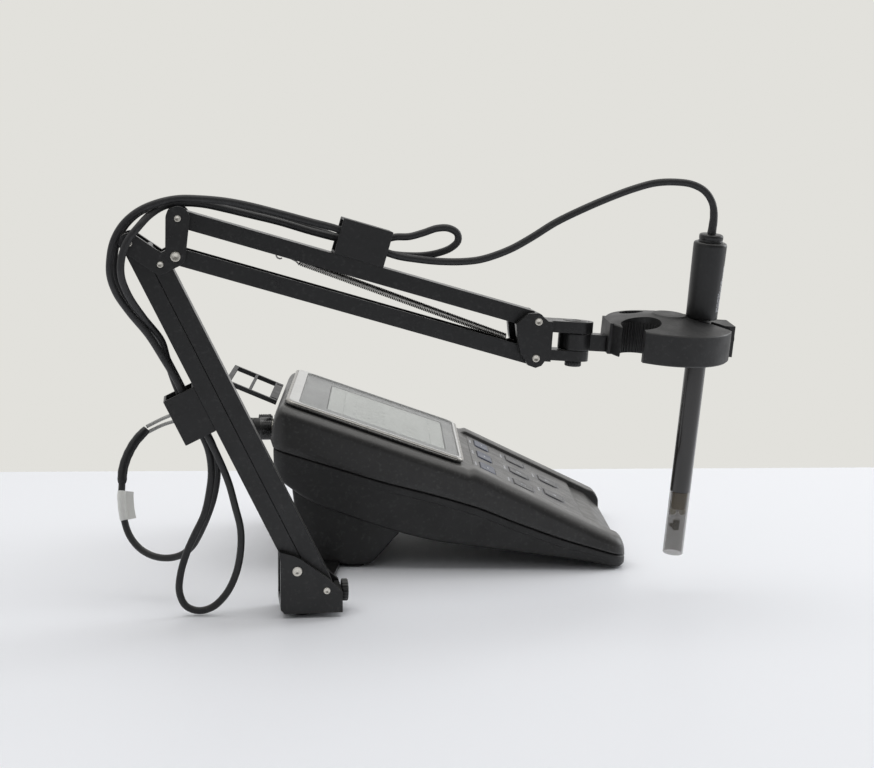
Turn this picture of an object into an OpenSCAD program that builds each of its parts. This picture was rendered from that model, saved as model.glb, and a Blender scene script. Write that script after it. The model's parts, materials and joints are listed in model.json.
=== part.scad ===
// Benchtop pH meter with a swing arm, a multi-notch electrode holder and a combination electrode.
// Units are millimetres. +X runs from the meter's rear to its front edge, +Y from the
// arm side to the far side, +Z up. The part stands on z = 0.

/* [Meter] */
// Width of the meter across its keypad
meter_w = 170; // [160:1:180]
// Wall of the two housing shells
wall = 2.5; // [2:0.1:3]
// Height of the display bezel above the upper housing
bezel_h = 4.3; // [3:0.1:5]
// Travel of the keys
key_travel = 0.8; // [0.5:0.1:1]

/* [Arm] */
// Turn of the whole arm about its base, seen from above
swing = 6; // [0:1:8]
// Height of an arm bar's side
bar_h = 9.6; // [9:0.1:9.6]
// Depth of an arm bar from its near wall to its far wall
bar_d = 22.6; // [20:0.1:22.8]
// Wall of an arm bar
bar_t = 2; // [1.6:0.1:2.4]
// Thickness of the side plates at the base, the elbow and the head
plate_t = 5.4; // [4:0.1:5.4]
// Radial clearance of the bars on their pins
run_fit = 0.05; // [0.03:0.01:0.09]

/* [Electrode] */
// Diameter of the electrode's body
body_dia = 12.2; // [11.8:0.1:12.4]
// Length of the electrode below its cap
body_len = 145; // [130:0.5:150]
// Diameter of the cap at its top
cap_dia = 19.5; // [18:0.1:20]

/* [Cable] */
// Diameter of the electrode's cable
cable_dia = 4.2; // [4:0.1:4.3]

/* [Hidden] */
$fn = 48;

// The whole part is moved so that the origin is at the middle of its footprint
ox = 7.96;
oy = -25.74;

// swivel axis of the arm base
base_x = -85;
base_y = -95;

// arm pivots in the arm's own plane, [x, z]
B1 = [-3.5, 27.4];
B2 = [13.3, 15.6];
T1 = [-93.9, 215.0];
T2 = [-77.1, 203.2];
P = [-68.7, 207.4];
S = [-67.15, 228.4];
H1 = [135.35, 168.5];
H2 = [133.8, 147.5];
low_len = norm(T1 - B1);
low_ang = atan2(T1[1] - B1[1], T1[0] - B1[0]);
up_len = norm(H1 - S);
up_ang = atan2(H1[1] - S[1], H1[0] - S[0]);
half = bar_d / 2 + 0.3;          // inner face of the side plates
outer = half + plate_t;          // outer face of the side plates
lean = 4.2;                      // head and holder lean in the arm's plane
tilt = 6;                        // holder tilts towards the arm's open side
r_b1 = 2.8; r_b2 = 2; r_t = 1.9; r_p = 2.9; r_s = 1.95; r_h = 2.25;

module whole() translate([ox, oy, 0]) children();
module arm() whole() translate([base_x, base_y, 0]) rotate([0, 0, swing]) children();
module xz(y0, y1) translate([0, y1, 0]) rotate([90, 0, 0]) linear_extrude(y1 - y0) children();
module pin(p, r, l = 2 * outer + 0.7) translate([p[0], 0, p[1]]) rotate([90, 0, 0]) cylinder(r = r, h = l, center = true);
module plates(y0 = half, y1 = outer) { xz(-y1, -y0) children(); xz(y0, y1) children(); }

// two circles joined by their outer tangents
module link2(p1, r1, p2, r2) {
  d = p2 - p1;
  a = atan2(d[1], d[0]);
  b = acos((r1 - r2) / norm(d));
  translate(p1) circle(r1);
  translate(p2) circle(r2);
  polygon([p1 + r1 * [cos(a + b), sin(a + b)], p1 + r1 * [cos(a - b), sin(a - b)],
           p2 + r2 * [cos(a - b), sin(a - b)], p2 + r2 * [cos(a + b), sin(a + b)]]);
}

// polygon corners rounded by arcs: points [x, y, r]
function rp(p, n = 5) = [for (i = [0:len(p) - 1])
  let (c = p[i], q = p[(i + len(p) - 1) % len(p)], s = p[(i + 1) % len(p)],
       u = [q[0] - c[0], q[1] - c[1]] / norm([q[0] - c[0], q[1] - c[1]]),
       v = [s[0] - c[0], s[1] - c[1]] / norm([s[0] - c[0], s[1] - c[1]]),
       h = acos(u * v) / 2, t = c[2] / tan(h),
       k = [c[0], c[1]] + (u + v) / norm(u + v) * c[2] / sin(h),
       a = [c[0], c[1]] + u * t - k, b = [c[0], c[1]] + v * t - k)
  for (j = [0:n]) let (w = j / n, g = 180 - 2 * h,
       m = a * sin(g * (1 - w)) / sin(g) + b * sin(g * w) / sin(g)) k + m];

// tube swept along a route, one ring at each of its points
function unit(v) = v / norm(v);
function tang(p) = [for (i = [0:len(p) - 1]) unit(p[min(i + 1, len(p) - 1)] - p[max(i - 1, 0)])];
function nrm(t) = [for (i = 0, n = unit(cross(t[0], abs(t[0][1]) < 0.9 ? [0, 1, 0] : [1, 0, 0])); i < len(t);
  i = i + 1, n = i < len(t) ? unit(n - t[i] * (n * t[i])) : n) n];
module tube(p, r, k = 8) {
  t = tang(p); n = nrm(t); c = len(p);
  polyhedron(points = [for (i = [0:c - 1]) for (j = [0:k - 1])
      p[i] + r * (n[i] * cos(j * 360 / k) + cross(t[i], n[i]) * sin(j * 360 / k))],
    faces = concat([[for (j = [0:k - 1]) j]], [[for (j = [0:k - 1]) (c - 1) * k + k - 1 - j]],
      [for (i = [0:c - 2]) for (j = [0:k - 1]) [i * k + j, (i + 1) * k + j, (i + 1) * k + (j + 1) % k]],
      [for (i = [0:c - 2]) for (j = [0:k - 1]) [i * k + j, (i + 1) * k + (j + 1) % k, i * k + (j + 1) % k]]));
}

// ---------- meter ----------
D0 = [-101, 105];                // rear of the display slope
D1 = [14, 64.7];                 // where the keypad slope starts
K1 = [108, 18.9];                // front of the keypad slope
disp_a = atan2(D0[1] - D1[1], D1[0] - D0[0]);
keys_a = atan2(D1[1] - K1[1], K1[0] - D1[0]);
seam = [[-107, 78.6], [-84, 71.5], [-39, 57.5], [-4, 48.5], [23, 40.5], [46, 31], [76, 20], [116, 8.2]];
upper_out = concat([[-109, 84], [-105.5, 100], [-104.5, 102.6], D0, D1, K1, [114.5, 17], [116, 12.5]],
  [for (i = [len(seam) - 1:-1:0]) seam[i]]);
upper_in = [[-104, 60], [-106.2, 84], [-103, 98.5], [-101, 102.2], [13.2, 62.1], [107, 16.5], [110.4, 13.6], [111, 0]];
lower_out = concat(seam, [[116, 2.6], [112, 0.6], [84, 6], [40, 12], [-4, 17.8], [-27, 23.5], [-56, 33], [-85, 44], [-101, 56], [-107, 68]]);
lower_in = [[-104.5, 90], [-104.5, 69], [-99, 57.5], [-84, 46.5], [-55, 35.5], [-26, 26], [-4, 20.3], [40, 14.5], [84, 8.5], [100, 5.6], [111, 5], [111, 90]];
pod_out = [[-97, 58], [-91, 8], [-90, 2.5], [-89, 1.5], [-48, 1.5], [-45.5, 3], [-26, 23.6], [-22, 30], [-50, 45]];
pod_in = [[-94, 70], [-88.6, 8], [-87.5, 4.1], [-48, 4.1], [-30, 23.5], [-27, 32], [-46, 50]];
function plan(d) = rp([[-111, d, 12], [116.5, d - 4, 12], [116.5, meter_w + 4 - d, 12], [-111, meter_w - d, 12]]);
function plan_in(w) = rp([[-120, w, 4], [116 - 2 * w, w - 2, 12], [116 - 2 * w, meter_w + 2 - w, 12], [-120, meter_w - w, 4]]);
module slab(pts) translate([0, meter_w + 5, 0]) rotate([90, 0, 0]) linear_extrude(meter_w + 10) polygon(pts);
module on_display() translate([D0[0], meter_w / 2, D0[1]]) rotate([0, disp_a, 0]) children();
module on_keys() translate([D1[0], meter_w / 2, D1[1]]) rotate([0, keys_a, 0]) children();
module rrect(x0, x1, y0, y1, r) polygon(rp([[x0, y0, r], [x1, y0, r], [x1, y1, r], [x0, y1, r]], 4));
// key centres on the keypad slope, [along, across]
soft_at = [[18, -42], [18, 0], [18, 42]];
key_at = [[44, -42], [44, 0], [44, 42], [68, -24], [68, 24]];
soft_size = [11, 24];
key_size = [14, 21];

module upper_housing() color([0.2, 0.2, 0.21]) whole() difference() {
  union() {
    intersection() { slab(upper_out); linear_extrude(130) polygon(plan(0)); }
    // raised side rails along the keypad
    intersection() {
      on_keys() for (s = [0, 1]) mirror([0, s, 0]) translate([0, 68.5, -4]) linear_extrude(6.4) rrect(1.5, 103, -4, 24, 3.6);
      linear_extrude(130) polygon(plan(1));
    }
    // ears and stub pins of the connector guard's hinge
    for (s = [0, 1]) translate([0, s * 60, 0]) {
      xz(28.9, 31.1) link2(guard_at, 2, [-103.6, 99], 2.4);
      translate([guard_at[0], 31.1, guard_at[1]]) rotate([90, 0, 0]) cylinder(r = 0.8, h = 7.2);
    }
  }
  intersection() { slab(upper_in); linear_extrude(130) polygon(plan_in(wall)); }
  // opening for the display
  on_display() translate([26, -56, -8]) cube([84, 112, 16]);
  // recess and holes for the keypad
  on_keys() translate([7, 0, -1]) linear_extrude(6) rrect(0, 80, -61, 61, 5);
  on_keys() for (k = soft_at) translate([k[0], k[1], -6]) linear_extrude(8) rrect(-6.3, 6.3, -12.8, 12.8, 3);
  on_keys() for (k = key_at) translate([k[0], k[1], -6]) linear_extrude(8) rrect(-7.8, 7.8, -11.3, 11.3, 4);
  // rear opening for the connector panel
  translate([-116, 18, 78.7]) cube([12.6, meter_w - 36, 14]);
}

module lower_housing() color([0.13, 0.13, 0.14]) whole() difference() {
  union() {
    difference() {
      union() {
        intersection() { slab(lower_out); linear_extrude(130) polygon(plan(0.4)); }
        intersection() { slab(pod_out); translate([-110, 9, 0]) cube([100, meter_w - 18, 60]); }
      }
      intersection() { slab(lower_in); linear_extrude(130) polygon(plan_in(wall + 0.4)); }
      intersection() { slab(pod_in); translate([-110, 11.5, 0]) cube([100, meter_w - 23, 80]); }
    }
    // pad above the bracket's slot
    translate([-90, 10, 3.6]) cube([26, 53, 3.4]);
  }
  // slot under the pod for the arm bracket
  translate([-89.3, 5, -1]) cube([23.6, 56, 5.05]);
  // battery bay door opening
  translate([-64, 62, -1]) cube([14, 60, 8]);
  // screw holes
  for (y = [28, meter_w - 28]) translate([-56, y, 0]) cylinder(r = 1.6, h = 8);
  for (y = [24, 44]) translate([-77.5, y, 0]) cylinder(r = 2.05, h = 12);
  // seats of the front feet
  for (y = [22, meter_w - 22]) translate([105.5, y, -1]) cylinder(r = 3.22, h = 2.4);
}

module rear_panel() color([0.1, 0.1, 0.1]) whole() difference() {
  translate([-107.5, 18.3, 79]) cube([2.4, meter_w - 36.6, 13.4]);
  translate([-110, 34, 85.8]) rotate([0, 90, 0]) cylinder(r = 5.1, h = 8);
  translate([-110, 60, 85.8]) rotate([0, 90, 0]) cylinder(r = 5.1, h = 8);
  translate([-110, 122, 85.8]) rotate([0, 90, 0]) cylinder(r = 4.6, h = 8);
}

module display_bezel() color([0.62, 0.63, 0.64]) whole() on_display() difference() {
  translate([0, 0, 0.02]) linear_extrude(bezel_h) rrect(0.5, 120.5, -75, 75, 8);
  translate([28, -54, -1]) cube([80, 108, 10]);
  translate([0, 0, bezel_h - 1.2]) linear_extrude(3) rrect(9, 117, -71, 71, 5);
}

module display_window() color([0.7, 0.74, 0.72, 0.5]) whole() on_display()
  translate([0, 0, bezel_h - 1.18]) linear_extrude(1.18) rrect(9.2, 116.8, -70.8, 70.8, 4.8);

module lcd_module() color([0.66, 0.7, 0.66]) whole() on_display()
  translate([28.1, -53.9, -6.4]) cube([79.8, 107.8, 5.1 + bezel_h]);

module keypad_overlay() color([0.16, 0.16, 0.17]) whole() on_keys() difference() {
  translate([7.3, 0, -0.98]) linear_extrude(1.3) rrect(0, 79.4, -60.7, 60.7, 4.8);
  for (k = soft_at) translate([k[0], k[1], -2]) linear_extrude(4) rrect(-6, 6, -12.5, 12.5, 2.8);
  for (k = key_at) translate([k[0], k[1], -2]) linear_extrude(4) rrect(-7.5, 7.5, -11, 11, 3.8);
}

module key_cap(at, sz, r) whole() on_keys() translate([at[0], at[1], 0]) {
  translate([0, 0, -2.2]) linear_extrude(3.3) rrect(-sz[0] / 2 + 0.2, sz[0] / 2 - 0.2, -sz[1] / 2 + 0.2, sz[1] / 2 - 0.2, r);
  translate([0, 0, -3]) linear_extrude(0.8) rrect(-sz[0] / 2 + 1.2, sz[0] / 2 - 1.2, -sz[1] / 2 + 1.2, sz[1] / 2 - 1.2, r - 1);
}
module soft_key_1() color([0.3, 0.34, 0.45]) key_cap(soft_at[0], soft_size, 2.5);
module soft_key_2() color([0.3, 0.34, 0.45]) key_cap(soft_at[1], soft_size, 2.5);
module soft_key_3() color([0.3, 0.34, 0.45]) key_cap(soft_at[2], soft_size, 2.5);
module key_1() color([0.2, 0.2, 0.22]) key_cap(key_at[0], key_size, 3.5);
module key_2() color([0.2, 0.2, 0.22]) key_cap(key_at[1], key_size, 3.5);
module key_3() color([0.2, 0.2, 0.22]) key_cap(key_at[2], key_size, 3.5);
module key_4() color([0.2, 0.2, 0.22]) key_cap(key_at[3], key_size, 3.5);
module key_5() color([0.2, 0.2, 0.22]) key_cap(key_at[4], key_size, 3.5);

module main_board() color([0.1, 0.35, 0.2]) whole() on_keys()
  translate([-2, -70, -5.6]) cube([88, 140, 1.6]);

module batteries() color([0.75, 0.6, 0.3]) whole() for (i = [0:1]) for (j = [0:1])
  translate([-72 + 15 * i, 50 + 51 * j, 14.4]) rotate([-90, 0, 0]) { cylinder(r = 7.1, h = 48); translate([0, 0, 48]) cylinder(r = 2.7, h = 1.6); }

module battery_door() color([0.12, 0.12, 0.13]) whole() translate([-63.7, 62.3, 1.6]) cube([13.4, 59.4, 2.3]);

module rubber_feet() color([0.07, 0.07, 0.07]) whole() {
  for (y = [16, meter_w - 18]) translate([-56, y, 0]) cylinder(r = 5.5, h = 1.5);
  translate([-82, meter_w - 18, 0]) cylinder(r = 5.5, h = 1.5);
  for (y = [22, meter_w - 22]) translate([105.5, y, 0]) cylinder(r = 3.2, h = 1.4);
  translate([base_x, base_y - 5, 0]) cylinder(r = 5, h = 1);
}

module housing_screws() color([0.6, 0.6, 0.6]) whole()
  for (y = [28, meter_w - 28]) translate([-56, y, 1.0]) { cylinder(r = 1.5, h = 5); cylinder(r = 2.9, h = 0.5); }

module bnc_socket() color([0.72, 0.7, 0.62]) whole() translate([0, 34, 85.8]) rotate([0, -90, 0]) difference() {
  union() { translate([0, 0, 98]) cylinder(r = 5, h = 20.5); translate([0, 0, 107.55]) cylinder(r = 6.6, h = 1.6);
    translate([0, 0, 115.2]) rotate([90, 0, 0]) cylinder(r = 0.9, h = 11.8, center = true); }
  translate([0, 0, 110]) cylinder(r = 3.9, h = 10);
}

module din_socket() color([0.15, 0.15, 0.15]) whole() translate([0, 60, 85.8]) rotate([0, -90, 0]) difference() {
  union() { translate([0, 0, 98]) cylinder(r = 5, h = 11.5); translate([0, 0, 107.55]) cylinder(r = 6.2, h = 1); }
  translate([0, 0, 104]) cylinder(r = 4, h = 10);
}

module power_socket() color([0.1, 0.1, 0.1]) whole() translate([0, 122, 85.8]) rotate([0, -90, 0]) difference() {
  union() { translate([0, 0, 98]) cylinder(r = 4.5, h = 10.2); translate([0, 0, 107.55]) cylinder(r = 5.4, h = 0.8); }
  translate([0, 0, 102]) cylinder(r = 2.9, h = 10);
}

// open frame over the connectors, hinged on the top slope's rear edge
guard_at = [-107.2, 104.6];
guard_a = 23;                    // rest angle above the level, rising to the rear
module connector_guard() color([0.09, 0.09, 0.09]) whole()
  translate([guard_at[0], 0, guard_at[1]]) rotate([0, guard_a, 0]) {
    difference() {
      translate([-34, 24, -1.4]) cube([35.4, 74, 2.8]);
      for (x = [-31, -16.6]) translate([x, 27, -3]) cube([12.6, 68, 6]);
      for (s = [28.5, 88.5]) translate([-3.1, s, -3]) cube([6, 3, 6]);
      for (s = [23, 83]) translate([0, s + 8, 0]) rotate([90, 0, 0]) cylinder(r = 0.85, h = 10);
    }
  }

// ---------- arm ----------
module arm_bracket() color([0.12, 0.12, 0.12]) whole() difference() {
  union() {
    translate([base_x, base_y, 1]) cylinder(r = 11, h = 3);
    translate([0, 0, 1]) linear_extrude(3) polygon([[-96, -95], [-74, -95], [-66.3, 2], [-66.3, 60], [-88.8, 60], [-88.8, 2]]);
  }
  translate([base_x, base_y, 0]) cylinder(r = 3, h = 9);
  for (y = [24, 44]) translate([-77.5, y, 0]) cylinder(r = 2.05, h = 9);
}

module bracket_screws() color([0.6, 0.6, 0.6]) whole()
  for (y = [24, 44]) translate([-77.5, y, 0.4]) { cylinder(r = 2, h = 9); cylinder(r = 3.6, h = 0.6); }

base_side = [[-11, 2.6], [22.3, 2.6], [22.3, 14.5], [14, 22.4], [-1, 34], [-5, 36.2], [-13.6, 38.8], [-13, 33], [-13.2, 5]];
module base_block() color([0.13, 0.13, 0.13]) arm() difference() {
  union() {
    xz(-outer, -half) polygon(base_side);
    xz(half, outer) intersection() { polygon(base_side); translate([-30, 4.2]) square([60, 60]); }
    translate([-13.1, -half - 1, 4.2]) cube([35.3, 2 * half + 2, 4.8]);
    translate([19.4, -half - 1, 4.2]) cube([2.9, 2 * half + 2, 10.2]);
  }
  pin(B1, r_b1 + 0.02, 60);
  pin(B2, r_b2 + 0.02, 60);
  cylinder(r = 3 + run_fit, h = 20);
  translate([15, 0, 11.6]) rotate([0, 90, 0]) cylinder(r = 1.6, h = 12);
}
module swivel_bolt() color([0.7, 0.7, 0.68]) arm() {
  translate([0, 0, 1.05]) cylinder(r = 2.98, h = 8.2);
  translate([0, 0, 9.3]) cylinder(r = 5, h = 1.6);
  translate([0, 0, 9.2]) cylinder(r = 2.98, h = 0.2);
}
module base_knob() color([0.1, 0.1, 0.1]) arm() translate([0, 0, 11.6]) rotate([0, 90, 0]) {
  translate([0, 0, 22.6]) cylinder(r = 6.4, h = 4.2);
  translate([0, 0, 19.6]) cylinder(r = 1.58, h = 4);
}
module base_pins() color([0.8, 0.8, 0.76]) arm() { pin(B1, r_b1); pin(B2, r_b2); }

// channel-shaped bar from pivot to pivot along its own +X; closed = 1 closes +Z, -1 closes -Z
module bar(l, ra, rb, closed) {
  difference() {
    union() {
      translate([2.6, -bar_d / 2, -bar_h / 2]) cube([l - 5.2, bar_d, bar_h]);
      for (x = [0, l]) translate([x, 0, 0]) rotate([90, 0, 0]) cylinder(r = 4.4, h = bar_d, center = true);
    }
    translate([-9, -bar_d / 2 + bar_t, closed > 0 ? -9 : -bar_h / 2 + bar_t]) cube([l + 18, bar_d - 2 * bar_t, 9 + bar_h / 2 - bar_t]);
    rotate([90, 0, 0]) cylinder(r = ra + run_fit, h = 60, center = true);
    translate([l, 0, 0]) rotate([90, 0, 0]) cylinder(r = rb + run_fit, h = 60, center = true);
  }
}
module lower_rear_bar() color([0.12, 0.12, 0.12]) arm() translate([B1[0], 0, B1[1]]) rotate([0, -low_ang, 0]) bar(low_len, r_b1, r_t, 1);
module lower_front_bar() color([0.12, 0.12, 0.12]) arm() translate([B2[0], 0, B2[1]]) rotate([0, -low_ang, 0]) bar(low_len, r_b2, r_t, -1);
module upper_top_bar() color([0.12, 0.12, 0.12]) arm() translate([S[0], 0, S[1]]) rotate([0, -up_ang, 0]) bar(up_len, r_s, r_h, 1);
module upper_bottom_bar() color([0.12, 0.12, 0.12]) arm() translate([P[0], 0, P[1]]) rotate([0, -up_ang, 0]) bar(up_len, r_p, r_h, -1);

// rectangular cable sleeve standing on a bar's face
module sleeve_clip(l, h, d) difference() {
  translate([0, -d / 2, 0]) cube([l, d, h]);
  translate([-1, -d / 2 + 1.4, 1.4]) cube([l + 2, d - 2.8, h - 2.8]);
}
module upper_clip() color([0.1, 0.1, 0.1]) arm() translate([S[0], 0, S[1]]) rotate([0, -up_ang, 0])
  translate([88.7, 0, bar_h / 2]) sleeve_clip(29, 20.8, 22.6);
module post_clip() color([0.1, 0.1, 0.1]) arm() translate([B1[0], 0, B1[1]]) rotate([0, -low_ang, 0])
  translate([92.5, 0, bar_h / 2]) sleeve_clip(28, 19, 22.6);

module elbow_plates() color([0.12, 0.12, 0.12]) arm() difference() {
  plates() { link2(T1, 5.6, T2, 5.6); link2(T2, 5.6, P, 5.6); link2(S, 6.6, P, 5.6); }
  pin(T1, r_t + 0.02, 60);
  pin(T2, r_t + 0.02, 60);
  pin(P, r_p + 0.02, 60);
  pin(S, r_s + 0.02, 60);
}
module elbow_spacers() color([0.5, 0.5, 0.5]) arm() for (q = [[-69, 217.9], [-83.6, 211.6]])
  translate([q[0], 0, q[1]]) rotate([90, 0, 0]) cylinder(r = 2.4, h = 2 * half, center = true);
module elbow_pins() color([0.8, 0.8, 0.76]) arm() { pin(T1, r_t); pin(T2, r_t); pin(P, r_p); pin(S, r_s); }

spring_a = [6, 206];
module upper_spring() color([0.6, 0.6, 0.6]) arm()
  translate([-1, 0, 203.3]) rotate([0, 20.6, 0]) rotate([0, 90, 0]) {
    translate([0, 0, 2]) cylinder(r = 3, h = 128);
    translate([0, 0, -10]) cylinder(r = 0.6, h = 12);
  }

module in_head() translate([H1[0], 0, H1[1]]) rotate([0, lean, 0]) children();
swivel_a = 25.3;                   // swivel axis, along the head from its upper pin
head_side = [[122.3, 167.3], [129.6, 173.2], [135.6, 173.4], [142.6, 167.2], [141.6, 148], [139.5, 146.5], [137, 143.2], [133.6, 142], [129.2, 143.6], [125, 150.5], [123.2, 158]];
module head_bracket() color([0.12, 0.12, 0.12]) arm() difference() {
  union() {
    plates() polygon(head_side);
    in_head() {
      // cross web that joins the plates and the fork
      translate([5.3, -outer + 0.5, -22.6]) cube([3.4, 2 * outer - 1, 23]);
      difference() {
        union() {
          translate([6.2, -10, -6.2]) cube([swivel_a - 6.2, 20, 6.6]);
          translate([swivel_a, 0, -6.2]) cylinder(r = 10, h = 6.6);
          translate([6.2, -8.5, -22.6]) cube([swivel_a - 6.2, 17, 6.0]);
          translate([swivel_a, 0, -22.6]) cylinder(r = 8.5, h = 6.0);
        }
        translate([swivel_a, 0, -1.2]) cylinder(r = 7.6, h = 4);
        translate([swivel_a, 0, -30]) cylinder(r = 2.53, h = 40);
      }
    }
  }
  pin(H1, r_h + 0.02, 60);
  pin(H2, r_h + 0.02, 60);
}
module head_pins() color([0.8, 0.8, 0.76]) arm() { pin(H1, r_h); pin(H2, r_h); }
module swivel_screw() color([0.15, 0.15, 0.15]) arm() in_head() translate([swivel_a, 0, 0]) {
  translate([0, 0, -26.3]) cylinder(r = 4.8, h = 3.6);
  translate([0, 0, -23]) cylinder(r = 2.5, h = 22);
  translate([0, 0, -1.19]) cylinder(r = 7.3, h = 1.9);
}
holder_c = [79.85, -6.7];        // holder's centre in the head's frame
module holder_link() color([0.12, 0.12, 0.12]) arm() in_head() difference() {
  union() {
    translate([swivel_a, 0, -16.2]) cylinder(r = 9.8, h = 9.6);
    translate([swivel_a, -6, -16.2]) cube([holder_c[0] - 37 - swivel_a, 12, 9.6]);
  }
  translate([swivel_a, 0, -30]) cylinder(r = 2.5 + run_fit, h = 40);
}
module in_holder() in_head() translate([holder_c[0], 0, holder_c[1]]) rotate([tilt, 0, 0]) children();
el = [20, 2];                    // electrode's place in the holder
module electrode_holder() color([0.11, 0.11, 0.11]) arm() in_holder() difference() {
  union() {
    rotate_extrude() polygon([[0, -9], [36.2, -9], [37, -8.2], [37, 8.4], [36.4, 9], [33.5, 9.6], [11, 13.6], [9.5, 14.6], [0, 14.6]]);
    translate([-37, -11, -9]) cube([9, 22, 18]);
    translate([30, -0.5, -9]) cube([10.6, 19.5, 18.4]);
    translate([40.4, 6, 1]) rotate([0, 90, 0]) cylinder(r = 2.6, h = 1.6);
  }
  // open notch on the near left
  translate([-20, -15, -20]) cylinder(r = 11.6, h = 40);
  translate([-31.6, -45, -20]) cube([11, 30, 40]);
  // closed holes at the far left, the back and the right
  translate([-18.5, 17.5, -20]) cylinder(r = 7.2, h = 40);
  translate([2.5, 25, -20]) cylinder(r = 7, h = 40);
  translate([17, 23, -20]) cylinder(r = 6, h = 40);
  // notch that holds the electrode, with the seat of its cap
  translate([el[0], el[1], -20]) cylinder(r = body_dia / 2 + 0.25, h = 50);
  translate([el[0], el[1], 13]) cylinder(r = 10.6, h = 20);
  translate([el[0], el[1], -20]) rotate([0, 0, -28]) translate([0, -4.8, 0]) cube([30, 9.6, 40]);
}

// ---------- electrode ----------
cap_l = 45;
tube_l = 106;                     // dark tube below the cap, down to the clear guard
module in_electrode() in_holder() translate([el[0], el[1], 4]) children();
module electrode_cap() color([0.09, 0.09, 0.09]) arm() in_electrode() difference() {
  translate([0, 0, 9.06]) rotate_extrude() polygon([[0, 0], [9.0, 0], [9.4, 0.5], [cap_dia / 2, cap_l - 1.2], [cap_dia / 2 - 1, cap_l], [0, cap_l]]);
  translate([0, 0, 5]) cylinder(r = body_dia / 2 + 0.02, h = 12);
  translate([0, 0, 50]) cylinder(r = 3, h = 10);
}
module electrode_collar() color([0.08, 0.08, 0.08]) arm() in_electrode() union() {
  translate([0, 0, 9.06 + cap_l]) cylinder(r = 7, h = 4.6);
  translate([0, 0, 51]) cylinder(r = 2.96, h = 7);
}
module electrode_body() color([0.14, 0.12, 0.11]) arm() in_electrode()
  difference() {
    translate([0, 0, 9.06 - tube_l]) cylinder(r = body_dia / 2, h = tube_l + 7.9);
    translate([0, 0, -99.5]) cylinder(r = 3.6, h = 8);
  }
module electrode_guard() color([0.45, 0.42, 0.38, 0.5]) arm() in_electrode() difference() {
  translate([0, 0, 9.06 - body_len]) cylinder(r = body_dia / 2, h = body_len - tube_l);
  translate([0, 0, 8 - body_len]) cylinder(r = body_dia / 2 - 1, h = body_len - 89.5);
}
module sensor_tip() color([0.75, 0.72, 0.6]) arm() in_electrode() translate([0, 0, -9.5]) {
  translate([0, 0, -94]) cylinder(r = 3.4, h = 11.4);
  for (s = [-1, 1]) translate([s * 2.9, 0, -99.5]) cylinder(r = 0.7, h = 6);
  for (s = [-1, 1]) translate([s * 2.9, 0, -100.5]) sphere(r = 2.1);
  translate([-1.9, -1.2, -112]) cube([3.8, 2.4, 6.2]);
  translate([-0.5, -0.5, -106]) cube([1, 1, 12.4]);
}

// ---------- cable ----------
cr = cable_dia / 2;
front_route = [[239.05, -4.6, 217.21], [239.8, -5.7, 227.5], [238.5, -6.5, 235], [234, -7, 241.5], [226.5, -7.5, 245.5], [216, -8, 247], [204, -8.5, 246.5],
  [192, -9, 243.5], [179, -9.5, 239], [163, -10, 232.5], [146, -10, 224.5], [132, -10, 216], [121, -10, 210], [111, -9.5, 206], [102, -8.8, 203.5],
  [92, -8, 202.5], [83, -7, 202.5], [75, -6.5, 203], [67, -6.2, 204], [56.2, -6, 205.8]];
// three strands side by side in the upper sleeve, and the loop on its right
loop_r = [[55, -0.3, 216.3], [63, -0.3, 216.5], [71, 0, 218.5], [79, 0.5, 221], [86, 1.2, 221], [91, 2, 218], [91.5, 3, 213.5], [87.5, 4, 209.5],
  [80, 5, 206.6], [72, 5.4, 205.3], [64, 5.5, 205.2], [55, 5.5, 206]];
up_a = [[55, -6, 206], [47, -6, 209], [38, -6, 213.5], [29, -6, 218.5], [20, -6, 222], [7, -7, 225.5], [-11, -8, 230.5], [-29, -10, 235.2]];
up_b = [[55, -0.3, 216.3], [47, -0.3, 214.5], [38, -0.3, 214], [29, -0.3, 214.5], [20, -0.3, 216.5], [7, -0.6, 220], [-11, -1, 225.5], [-29, -1.5, 230]];
up_c = [[55, 5.5, 206], [47, 5.5, 208], [38, 5.5, 210.5], [29, 5.5, 213.5], [20, 5.6, 217], [7, 6, 221.5], [-11, 6.5, 227], [-29, 7, 231.5]];
el_a = [[-30.2, -10, 235.4], [-41, -11, 237.5], [-54, -12, 238.8], [-67, -13, 239], [-79, -14, 236.5], [-89, -15, 232], [-97, -15, 225], [-102, -15, 216.5],
  [-104.3, -14, 207], [-104.6, -13, 197], [-101.5, -11, 187], [-94.5, -9, 176], [-84.5, -7, 163]];
el_b = [[-30.2, -1.6, 230.3], [-41, -2, 233], [-53, -3, 235.6], [-64, -5, 236.4], [-74, -8, 235], [-82, -14, 230.5], [-88, -19.5, 224.5], [-94, -21, 217],
  [-97.5, -21, 208.5], [-98.4, -20, 198], [-95, -15, 186.5], [-87.5, -8, 173.5], [-78, -2.4, 160.5]];
el_c = [[-30.2, 7, 231.8], [-41, 7, 235], [-54, 7, 237.2], [-67, 7, 237.6], [-79, 7, 235], [-89, 6.5, 230.5], [-96.5, 6, 223.5], [-101, 6, 215.5],
  [-103, 6, 206], [-103, 6, 196.5], [-99.5, 6, 186], [-92.5, 6, 175], [-83.5, 6, 163.5]];
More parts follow.
